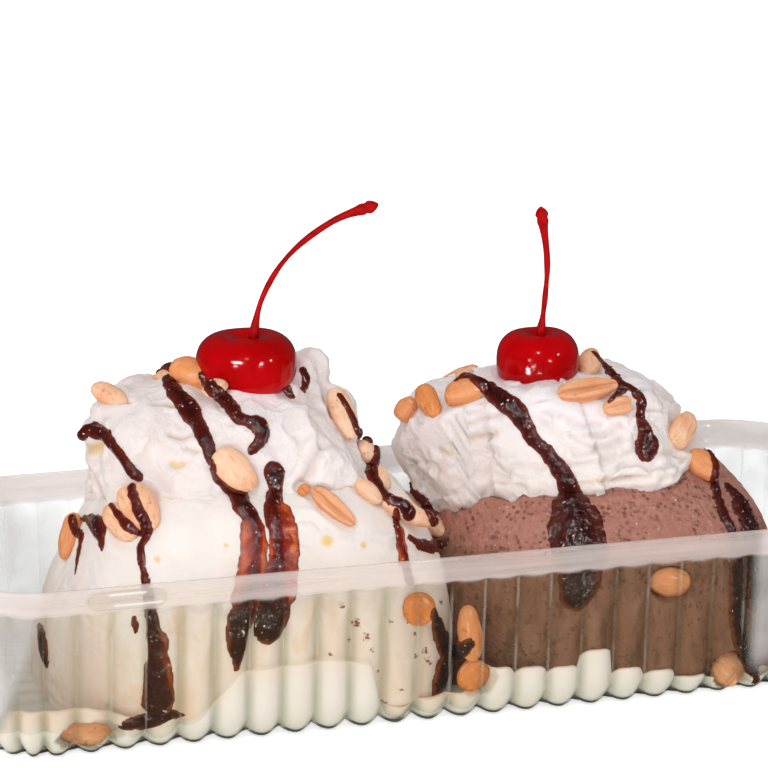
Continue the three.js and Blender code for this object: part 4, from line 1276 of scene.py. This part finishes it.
vanillaPiece = makeMound("vanilla", "vanilla_ice_cream", vanilla, "vanilla", "vanilla_scoop")
chocolatePiece = makeMound("chocolate", "chocolate_ice_cream", chocolate, "chocolate", "chocolate_scoop")
creamLeftPiece = makeMound("creamLeft", "cream_left", cream, "whipped_cream", "whipped_cream_left")
creamRightPiece = makeMound("creamRight", "cream_right", cream, "whipped_cream", "whipped_cream_right")
print("scoops and cream made")

# Half a peanut lies along X, a unit long, wide and thick each way, with its cut face up.
nutForms = {"columns": 44, "rows": 26}


def nutForm(name, top, groove, slim, chipped=0.0):
    columns, rows = nutForms["columns"], nutForms["rows"]
    lengthwise = np.linspace(0, np.pi, rows + 2)[1:-1]
    along = -np.cos(lengthwise)
    wide = np.sin(lengthwise) ** 0.8 * (1 - slim * along)
    around = np.arange(columns) * 2 * np.pi / columns
    y, z = np.cos(around), np.sin(around)
    flat = np.where(z > 0, np.abs(z) ** (0.95 - 0.5 * groove) * top, z)
    ridge = groove * (0.16 * np.exp(-(((np.abs(y) - 0.72) / 0.16) ** 2)) - 0.26 * np.exp(-((y / 0.3) ** 2)))
    points, brim = [], []
    for x, half in zip(along, wide):
        germ = 0.22 * groove * np.exp(-((x + 0.68) / 0.14) ** 2 - (y / 0.16) ** 2)
        height = np.where(z > 0, flat + (ridge * (1 - x ** 4) + germ), flat)
        points.append(np.column_stack([np.full(columns, x), y * half, height * half]))
        edge = np.exp(-((np.arcsin(np.clip(z, -1, 1)) - 0.1) / 0.3) ** 2)
        brim.append(np.maximum(edge * (0.4 + 0.6 * groove), groove * np.exp(-((y / 0.16) ** 2)) * (z > 0)))
    points = np.concatenate(points)
    if chipped:
        brokenEnd = chipped + 0.1 * np.sin(5 * points[:, 1]) + 0.08 * points[:, 2]
        points[:, 0] = np.minimum(points[:, 0], brokenEnd)
    points = np.concatenate([points, [[-1.0, 0, 0], [min(1.0, chipped or 1.0), 0, 0]]]) / 2
    made = meshObject(name, points / mm, closedFaces(rows, columns),
                      brim=np.concatenate(brim + [np.array([0.2, 0.2])]), own=points)
    checkOutward(made)
    return made


forms = [nutForm("half nut open", 0.5, 1.0, 0.1), nutForm("half nut shut", 0.9, 0.0, 0.14),
         nutForm("whole nut", 1.0, 0.0, 0.06), nutForm("chipped nut", 0.6, 0.6, 0.12, 0.5)]


def nutPoints():
    made = meshObject("peanuts", np.array([nut["middle"] for nut in nuts]), [])
    turns = [Matrix(nut["axes"].tolist()).to_euler() for nut in nuts]
    sizes = [nut["size"] * mm for nut in nuts]
    for key, values in (("turn", turns), ("size", sizes)):
        held = made.data.attributes.new(key, "FLOAT_VECTOR", "POINT")
        held.data.foreach_set("vector", np.array(values).ravel())
    for key, number in (("kind", "INT"), ("roast", "FLOAT")):
        held = made.data.attributes.new(key, number, "POINT")
        held.data.foreach_set("value", [nut[key] for nut in nuts])
    return made


def nutNodes(tree, given):
    turn = named(tree, "turn", "FLOAT_VECTOR")
    size = named(tree, "size", "FLOAT_VECTOR")
    kind = named(tree, "kind", "INT")
    kinds = wire(tree, "GeometryNodeJoinGeometry")
    for k in (3, 2, 1, 0):
        shape = wire(tree, "GeometryNodeObjectInfo", {0: given[f"Form {k}"]}).outputs["Geometry"]
        tree.links.new(wire(tree, "GeometryNodeGeometryToInstance", {0: shape}).outputs[0], kinds.inputs[0])
    rotation = wire(tree, "FunctionNodeEulerToRotation", {0: turn}).outputs[0]
    placed = wire(tree, "GeometryNodeInstanceOnPoints",
                  {"Points": given["Geometry"], "Instance": kinds.outputs[0], "Pick Instance": True,
                   "Instance Index": kind, "Rotation": rotation, "Scale": size}).outputs[0]
    real = wire(tree, "GeometryNodeRealizeInstances", {0: placed}).outputs[0]
    here = wire(tree, "GeometryNodeInputPosition").outputs[0]
    normal = wire(tree, "GeometryNodeInputNormal").outputs[0]
    bump = minus(tree, noiseOf(tree, here, 300.0, 2), 0.5)
    offset = scaled(tree, normal, times(tree, bump, given["Unevenness"]))
    return moved(tree, real, offset)


nutInputs = {f"Form {k}": form for k, form in enumerate(forms)}
nutInputs["Unevenness"] = 0.9 * mm
nutPiece = grow(nutPoints(), geometryTree("peanuts on the sundae", nutInputs, nutNodes, nutLook), nutInputs)
for form in forms:
    bpy.data.objects.remove(form)
settled(nutPiece, "peanut", *[n for n in nodes if n.startswith("peanut_")])
print("peanuts made")

# Cherries.
cherries = {
    "left": {"centre": (-36.1, -3, 75.2), "radius": 11.1, "height": 15, "dimple": 2.6,
             "stem": [(-35.2, 78), (-32.6, 89.5), (-26.4, 99), (-16.4, 106), (-6.1, 109.2)]},
    "right": {"centre": (31.6, -2, 70.6), "radius": 9.3, "height": 15, "dimple": 2.2,
              "stem": [(31.8, 75), (33, 85), (33.4, 94), (31.8, 106)]},
    "stemRadius": 0.8, "knobRadius": 1.5, "stemColumns": 14, "columns": 96, "rows": 64,
    # power of the body's outline, and the share of its radius that the hollow at its top takes
    "squareness": 2.6, "hollowShare": 0.32,
}


def cherryFruit(side):
    spec = cherries[side]
    columns, rows = cherries["columns"], cherries["rows"]
    power = cherries["squareness"]
    rise = np.linspace(-89, 89, rows)
    azimuth = np.arange(columns) * 360 / columns
    grid = np.meshgrid(rise, azimuth, indexing="ij")
    way = np.concatenate([direction(grid[1].ravel(), grid[0].ravel()), [[0, 0, -1], [0, 0, 1]]])
    flat = np.hypot(way[:, 0], way[:, 1])
    hollow = np.where(way[:, 2] > 0, spec["dimple"] * np.exp(-((flat / cherries["hollowShare"]) ** 2)), 0)
    full = (1 + 0.02 * np.sin(3 * np.arctan2(way[:, 1], way[:, 0])) * flat)
    full = full / (flat ** power + np.abs(way[:, 2]) ** power + 1e-9) ** (1 / power)
    points = np.column_stack([way[:, 0] * spec["radius"] * full, way[:, 1] * spec["radius"] * full,
                              way[:, 2] * full * spec["height"] / 2 - hollow]) + np.array(spec["centre"])
    made = meshObject(f"cherry_fruit_{side}", points, closedFaces(rows, columns))
    checkOutward(made)
    made.data.materials.append(cherryLook)
    return settled(made, "cherry", f"cherry_{side}")


def cherryStem(side):
    spec = cherries[side]
    line = smoothLine([(x, spec["centre"][1], z) for x, z in spec["stem"]], 60)
    ahead = np.gradient(line, axis=0)
    ahead /= np.linalg.norm(ahead, axis=1)[:, None]
    sideways = np.tile([0.0, 1.0, 0.0], (len(line), 1))
    up = np.cross(ahead, sideways)
    share = np.linspace(0, 1, len(line))
    root = 0.6 * np.exp(-((share - 0.08) / 0.08) ** 2)
    radius = cherries["stemRadius"] * (0.85 + root + 0.08 * np.sin(23 * share))
    radius = radius + 0.25 * smoothStep(share, 0.5, 0.85) + 0.3 * smoothStep(share, 0.82, 0.92)
    knob = cherries["knobRadius"] * np.clip(1 - np.abs((share - 0.94) / 0.06) ** 3, 0, 1) ** 0.45
    knob = knob * (1 + 0.14 * np.sin(120 * share))
    radius = np.maximum(radius * (share < 0.96), knob)
    radius[-1] = 0.3
    columns = cherries["stemColumns"]
    around = np.arange(columns) * 2 * np.pi / columns
    across, over = np.cos(around)[:, None], np.sin(around)[:, None]
    rings = [line[k] + radius[k] * (across * sideways[k] + over * up[k] * 0.9) for k in range(len(line))]
    points = np.concatenate(rings + [[line[0]], [line[-1]]])
    made = meshObject(f"cherry_stem_{side}", points, closedFaces(len(line), columns))
    checkOutward(made)
    made.data.materials.append(stemLook)
    return settled(made, "cherry", f"cherry_{side}")


fruits = {}
for side in ("left", "right"):
    fruits[side] = cherryFruit(side)
    cherryStem(side)
print("cherries made")

# Chocolate syrup.
# Each run is a way over the picture as x, y and width in millimetres. It lies on what is seen there.
syrup = {
    "thickness": 1.0, "film": 0.32, "sink": 0.35, "wobble": 1.2,
    "skin": 0.5, "kept": 0.35,     # wall of the hollow coat, and the share of its triangles that stays
    "runs": [
        [(80, 436, 2.4), (88, 430, 3.8), (97, 431, 3.6), (108, 438, 3), (117, 450, 3), (124, 460, 3.1),
         (130, 471, 2.8), (138, 477, 2.4)],
        [(168, 378, 2.6), (173, 390, 3.6), (181, 399, 4.2), (189, 409, 4.8), (197, 422, 3.6), (204, 437, 3.4),
         (209, 450, 3), (212, 463, 2.2), (217, 476, 2.4), (226, 484, 3), (236, 492, 4), (241, 504, 4.4),
         (249, 514, 3.8), (255, 526, 3.2), (257, 541, 2.8), (256, 560, 2.6), (252, 585, 4.4), (244, 610, 5.4),
         (238, 632, 5.4), (238, 652, 3.8), (237, 668, 1.4)],
        [(203, 376, 2.4), (212, 388, 3), (222, 397, 3.2), (231, 407, 3.4), (238, 417, 3.2), (247, 421, 3),
         (257, 425, 4.6), (262, 434, 4), (259, 443, 3), (252, 450, 2)],
        [(274, 472, 4.6), (275, 480, 4), (276, 489, 3), (274, 498, 3.6), (273, 510, 4), (275, 524, 3.8),
         (277, 541, 3.2), (277, 560, 3.4), (272, 590, 7.4), (270, 612, 8.6), (268, 625, 8.4)],
        [(340, 396, 1.4), (347, 406, 1.6), (353, 418, 1.8), (357, 430, 2.2), (366, 438, 2.6), (375, 444, 2.8),
         (377, 456, 2.8), (372, 468, 3.2), (372, 478, 3.4), (379, 487, 2.8), (391, 499, 3), (402, 506, 4.2),
         (409, 513, 3.6)],
        [(396, 510, 1.2), (397, 526, 2), (400, 543, 2.2), (405, 562, 2.6), (409, 580, 2.6)],
        [(303, 370, 1.8), (306, 380, 2), (303, 390, 1.6)],
        [(286, 388, 2), (291, 397, 1.6)],
        [(131, 487, 2.1), (134, 498, 2.2), (138, 510, 2.6), (143, 519, 2.8), (146, 529, 2.7), (145, 538, 2.4),
         (141, 546, 2.1), (141, 556, 1.8), (143, 568, 1.5), (147, 590, 2), (151, 612, 2.6), (154, 636, 3.4),
         (154, 655, 2.6), (156, 672, 5), (158, 692, 6.4), (158, 712, 7.4)],
        [(118, 728, 0.8), (130, 724, 2.6), (148, 721, 3.6), (166, 715, 2.8), (184, 715, 0.8)],
        [(134, 618, 1.2), (135, 625, 1.5), (136, 632, 1)],
        [(111, 504, 1), (115, 510, 1.3), (121, 519, 1.6), (128, 526, 2.4), (137, 531, 1.8), (145, 535, 1.8)],
        [(72, 517, 1.6), (73, 523, 2), (76, 531, 2), (81, 536, 2.4), (81, 544, 2.3), (79, 553, 2),
         (77, 565, 1.4), (75, 574, 0.6)],
        [(83, 518, 1.4), (91, 520, 2.8), (98, 527, 4.6), (102, 538, 3), (102, 550, 0.8)],
        [(456, 380, 1), (463, 376, 1.4), (471, 377, 2), (480, 382, 3.2), (489, 389, 3.8), (498, 397, 4.4),
         (508, 404, 4.6), (517, 412, 4.4), (525, 426, 3.7), (533, 439, 3.2), (541, 446, 3), (547, 452, 3.2),
         (553, 460, 3.6), (560, 470, 4), (566, 480, 4.4), (570, 494, 5), (573, 507, 5.2), (576, 520, 6),
         (579, 531, 9), (580, 546, 11), (581, 572, 9.4), (578, 586, 9), (575, 595, 7)],
        [(594, 352, 1.2), (600, 359, 1.6), (607, 368, 1.9), (616, 378, 2.2), (623, 387, 2.6), (632, 391, 2.6),
         (640, 397, 2.6), (641, 406, 2.4), (640, 416, 2), (643, 426, 2.6), (647, 437, 4.6), (647, 445, 6),
         (646, 452, 4.6)],
        [(609, 401, 1), (616, 395, 1.8), (624, 390, 2)],
        [(399, 466, 3), (406, 481, 3), (416, 495, 2.4), (425, 505, 2.6), (431, 517, 3), (434, 523, 2.2)],
        [(709, 451, 1.6), (716, 464, 2), (715, 482, 2.4), (718, 499, 2.6), (724, 515, 2.8), (731, 530, 3),
         (735, 548, 3.4), (736, 566, 4), (736, 592, 4.2), (735, 619, 4.2), (740, 640, 4), (748, 660, 3.4),
         (755, 680, 2.4)],
        [(434, 612, 2), (437, 624, 4), (440, 636, 5.6), (445, 649, 7), (445, 662, 7.6),
         (440, 677, 7), (436, 690, 4)],
        [(449, 652, 3.4), (460, 650, 3.8), (469, 644, 2.6)],
        [(728, 488, 3), (738, 499, 6), (745, 513, 8), (749, 529, 9), (752, 546, 9), (754, 575, 8),
         (755, 600, 6)],
        [(40, 628, 2.4), (43, 640, 4.4), (45, 652, 4.4), (47, 664, 2)],
        [(410, 538, 1.6), (422, 545, 3), (436, 546, 3), (447, 541, 2)],
    ],
    # thin film round the thick runs, which shows orange
    "films": [
        [(252, 530, 5.6), (254, 545, 6), (252, 572, 6.4), (245, 600, 6.4)],
        [(280, 512, 5.2), (283, 528, 6.4), (284, 545, 7), (283, 565, 7), (280, 590, 8)],
        [(571, 506, 9), (574, 518, 12.4), (576, 530, 12.8), (580, 548, 13)],
        [(160, 640, 4), (160, 655, 4.4), (158, 672, 6.4), (158, 700, 7.4)],
        [(400, 530, 2.8), (404, 562, 3.4)],
    ],
    # runs at the back, as body, width and a way of azimuth and rise
    "back": [
        ("creamLeft", 4.6, [(128, 58), (112, 38), (100, 16), (96, -2)]),
        ("vanilla", 5, [(96, 50), (98, 36), (97, 26)]),
        ("creamRight", 4.6, [(95, 58), (80, 36), (72, 14), (68, -3)]),
        ("chocolate", 5, [(70, 52), (70, 38), (72, 26)]),
    ],
}
hosts = [vanillaPiece, chocolatePiece, creamLeftPiece, creamRightPiece, nutPiece, poolPiece]
hostTree = surfaceTree(*hosts)


def frontRoute(run):
    found = []
    for x, y, width in smoothLine(run, 12 * len(run)):
        origin, way = sightLine(x, y)
        hit = hostTree.ray_cast(origin, way)[0]
        if hit is not None:
            found.append((*(hit / mm), width))
    return found


def backRoute(run):
    body, width, way = run
    spec = mounds[body]
    found = []
    for azimuth, rise in smoothLine(way, 16 * len(way)):
        aim = direction(azimuth, rise)
        origin = Vector((np.array(spec["centre"]) + aim * 90) * mm)
        hit = hostTree.ray_cast(origin, Vector(-aim))[0]
        if hit is not None:
            found.append((*(hit / mm), width))
    return found


def routePoints(name, routes):
    rows = np.array([row for route in routes for row in route])
    return meshObject(name, rows[:, :3], [], width=rows[:, 3])


def coatNodes(tree, given):
    here = wire(tree, "GeometryNodeInputPosition").outputs[0]
    normal = wire(tree, "GeometryNodeInputNormal").outputs[0]
    wobble = minus(tree, noiseOf(tree, here, 420.0, 3), 0.5)

    def closeness(name):
        lines = wire(tree, "GeometryNodeObjectInfo", {0: given[name]}).outputs["Geometry"]
        near = wire(tree, "GeometryNodeSampleNearest", {0: lines}, domain="POINT").outputs[0]
        width = named(tree, "width")
        width = wire(tree, "GeometryNodeSampleIndex", {0: lines, 1: width, "Index": near}, data_type="FLOAT",
                     domain="POINT").outputs[0]
        spot = wire(tree, "GeometryNodeSampleIndex", {0: lines, 1: here, "Index": near},
                    data_type="FLOAT_VECTOR", domain="POINT").outputs[0]
        away = plus(tree, vectorCalc(tree, "DISTANCE", here, spot),
                    times(tree, wobble, given["Wobble"]))
        return away, times(tree, width, 0.5 * mm)

    # height of the syrup, and how deep it looks
    def profile(name, thickness, roundness):
        away, half = closeness(name)
        share = calc(tree, "DIVIDE", away, half)
        inside = calc(tree, "MAXIMUM", minus(tree, 1.0, times(tree, share, share)), 0.0)
        thick = times(tree, thickness, calc(tree, "MINIMUM", calc(tree, "DIVIDE", half, 1.9 * mm), 1.1))
        raised = times(tree, calc(tree, "POWER", inside, roundness), thick)
        outside = times(tree, calc(tree, "MAXIMUM", minus(tree, away, half), 0.0), 0.6)
        deep = times(tree, calc(tree, "POWER", inside, 1.3), thick)
        return minus(tree, raised, calc(tree, "MINIMUM", outside, given["Sink"])), deep

    run, runDeep = profile("Runs", given["Thickness"], 0.6)
    film, filmDeep = profile("Films", given["Film"], 1.1)
    height = calc(tree, "MAXIMUM", run, film)
    bare = calc(tree, "LESS_THAN", height, times(tree, given["Sink"], -0.99))
    near = wire(tree, "GeometryNodeDeleteGeometry", {"Geometry": given["Geometry"], "Selection": bare},
                domain="POINT").outputs[0]
    finer = wire(tree, "GeometryNodeSubdivideMesh", {0: near, "Level": 1}).outputs[0]
    depth = calc(tree, "DIVIDE", plus(tree, runDeep, filmDeep), mm)
    kept = stored(tree, finer, "depth", depth)
    amber = ranged(tree, calc(tree, "DIVIDE", filmDeep, mm), 0.02, 0.1)
    return moved(tree, stored(tree, kept, "amber", amber), scaled(tree, normal, height))


def makeSyrup():
    runs = [frontRoute(run) for run in syrup["runs"]] + [backRoute(run) for run in syrup["back"]]
    films = [frontRoute(film) for film in syrup["films"]]
    inputs = {"Runs": routePoints("runs", runs), "Films": routePoints("films", films),
              "Thickness": syrup["thickness"] * mm, "Film": syrup["film"] * mm,
              "Sink": syrup["sink"] * mm, "Wobble": syrup["wobble"] * mm}
    tree = geometryTree("syrup over the hosts", inputs, coatNodes, syrupLook)
    points, faces = gathered(hosts)
    darkness = {chocolatePiece: 1.0, creamLeftPiece: 0.4, creamRightPiece: 0.4}
    dark = [np.full(len(own), darkness.get(piece, 0.0)) for piece, own in zip(hosts, points)]
    coat = meshObject("syrup", np.concatenate(points) / mm, faces, dark=np.concatenate(dark))
    grow(coat, tree, inputs)
    shell = coat.modifiers.new("underside", "SOLIDIFY")
    shell.thickness, shell.offset = syrup["skin"] * mm, -1
    lighter = coat.modifiers.new("fewer triangles", "DECIMATE")
    lighter.ratio = syrup["kept"]
    settle(coat)
    for key in ("Runs", "Films"):
        bpy.data.objects.remove(inputs[key])
    return settled(coat, None, "vanilla_scoop", "chocolate_scoop", "whipped_cream_left",
                   "whipped_cream_right")


syrupPiece = makeSyrup()
print("syrup made,", len(syrupPiece.data.polygons), "faces")


# Floor, lights and world.
def stageFloor():
    size = 3000
    floor = meshObject("floor", [(-size, -size, -0.05), (size, -size, -0.05), (size, size, -0.05),
                                 (-size, size, -0.05)], [(0, 1, 2, 3)])
    floor.data.materials.append(floorMaterial())
    floor.visible_glossy = False


lights = [
    {"name": "key softbox", "place": (-500, -700, 900), "size": 600, "power": 3.9, "glint": False},
    {"name": "front softbox", "place": (-480, -840, 260), "size": 600, "power": 2.5, "glint": False},
    {"name": "fill softbox", "place": (700, -500, 600), "size": 700, "power": 1.7, "glint": False},
    {"name": "left softbox", "place": (-900, -60, 260), "size": 500, "power": 1.3, "glint": False},
    {"name": "back softbox", "place": (0, 700, 900), "size": 900, "power": 3.4, "glint": False},
    {"name": "left glint", "place": (-640, -600, 200), "size": 60, "power": 1.6, "glint": True},
    {"name": "right glint", "place": (230, -860, 190), "size": 50, "power": 1.4, "glint": True},
    {"name": "high glint", "place": (-260, -620, 700), "size": 60, "power": 1.6, "glint": True},
    {"name": "side glint", "place": (640, -560, 420), "size": 60, "power": 1.4, "glint": True},
]
# Small lamps that only the syrup mirrors stand here, and those of the cherries where they are mirrored to the
# camera at these places of the picture: x, y, width, power.
glint = {"distance": 150, "height": 16, "onSyrup": 34, "syrupPower": 1.6}
syrupGlints = [(-300, -800, 520), (120, -820, 600), (-700, -520, 480), (330, -740, 330), (-120, -500, 820)]
cherryGlints = [("left", 238, 363, 60, 0.5), ("left", 262, 363, 18, 0.09), ("right", 529, 371, 22, 0.12),
                ("right", 538, 377, 22, 0.14), ("right", 547, 374, 16, 0.08), ("right", 535, 367, 16, 0.05)]


def areaLamp(name, place, aim, sizes, power):
    data = bpy.data.lights.new(name, "AREA")
    data.shape = "RECTANGLE"
    data.size, data.size_y, data.energy = sizes[0] * mm, sizes[1] * mm, power
    lamp = bpy.data.objects.new(name, data)
    bpy.context.scene.collection.objects.link(lamp)
    lamp.location = place
    lamp.rotation_mode = "QUATERNION"
    lamp.rotation_quaternion = aim.to_track_quat("-Z", "Y")
    lamp.visible_camera = False
    return lamp


# A lamp that is only mirrored, and by a few pieces alone.
def mirrorLamp(name, place, aim, sizes, power, receivers):
    lamp = areaLamp(name, place, aim, sizes, power)
    lamp.visible_diffuse = False
    lamp.light_linking.receiver_collection = receivers


def addLights():
    target = Vector(view["target"]) * mm
    for spec in lights:
        place = Vector(spec["place"]) * mm
        lamp = areaLamp(spec["name"], place, target - place, (spec["size"], spec["size"]), spec["power"])
        lamp.visible_glossy = spec["glint"]
        lamp.visible_diffuse = not spec["glint"]
    mirrored = {side: bpy.data.collections.new("mirrored by the cherry " + side) for side in fruits}
    for side, fruit in fruits.items():
        mirrored[side].objects.link(fruit)
    for side, x, y, width, power in cherryGlints:
        origin, way = sightLine(x, y)
        hit, normal = surfaceTree(fruits[side]).ray_cast(origin, way)[:2]
        bounce = way - 2 * way.dot(normal) * normal
        place = hit + bounce * glint["distance"] * mm
        mirrorLamp("cherry glint", place, -bounce, (width, glint["height"]), power, mirrored[side])
    onSyrup = bpy.data.collections.new("mirrored by the syrup")
    onSyrup.objects.link(syrupPiece)
    for place in syrupGlints:
        place = Vector(place) * mm
        sizes = (glint["onSyrup"], glint["onSyrup"])
        mirrorLamp("syrup glint", place, target - place, sizes, glint["syrupPower"], onSyrup)


# White behind the object and as light, but dim where a glossy surface mirrors it.
def whiteWorld():
    world = bpy.data.worlds.new("white studio")
    world.use_nodes = True
    bpy.context.scene.world = world
    tree = world.node_tree
    tree.nodes.clear()
    path = wire(tree, "ShaderNodeLightPath").outputs
    strength = ranged(tree, path["Is Camera Ray"], 0.0, 1.0, 0.36, 1.0, smooth=False)
    strength = times(tree, strength, ranged(tree, path["Is Glossy Ray"], 0.0, 1.0, 1.0, 0.25, smooth=False))
    light = wire(tree, "ShaderNodeBackground", {"Color": (1, 1, 1, 1), "Strength": strength}).outputs[0]
    output = wire(tree, "ShaderNodeOutputWorld")
    tree.links.new(light, output.inputs["Surface"])


stageFloor()
addLights()
whiteWorld()
bpy.context.scene.view_settings.view_transform = "Standard"
print("stage set")
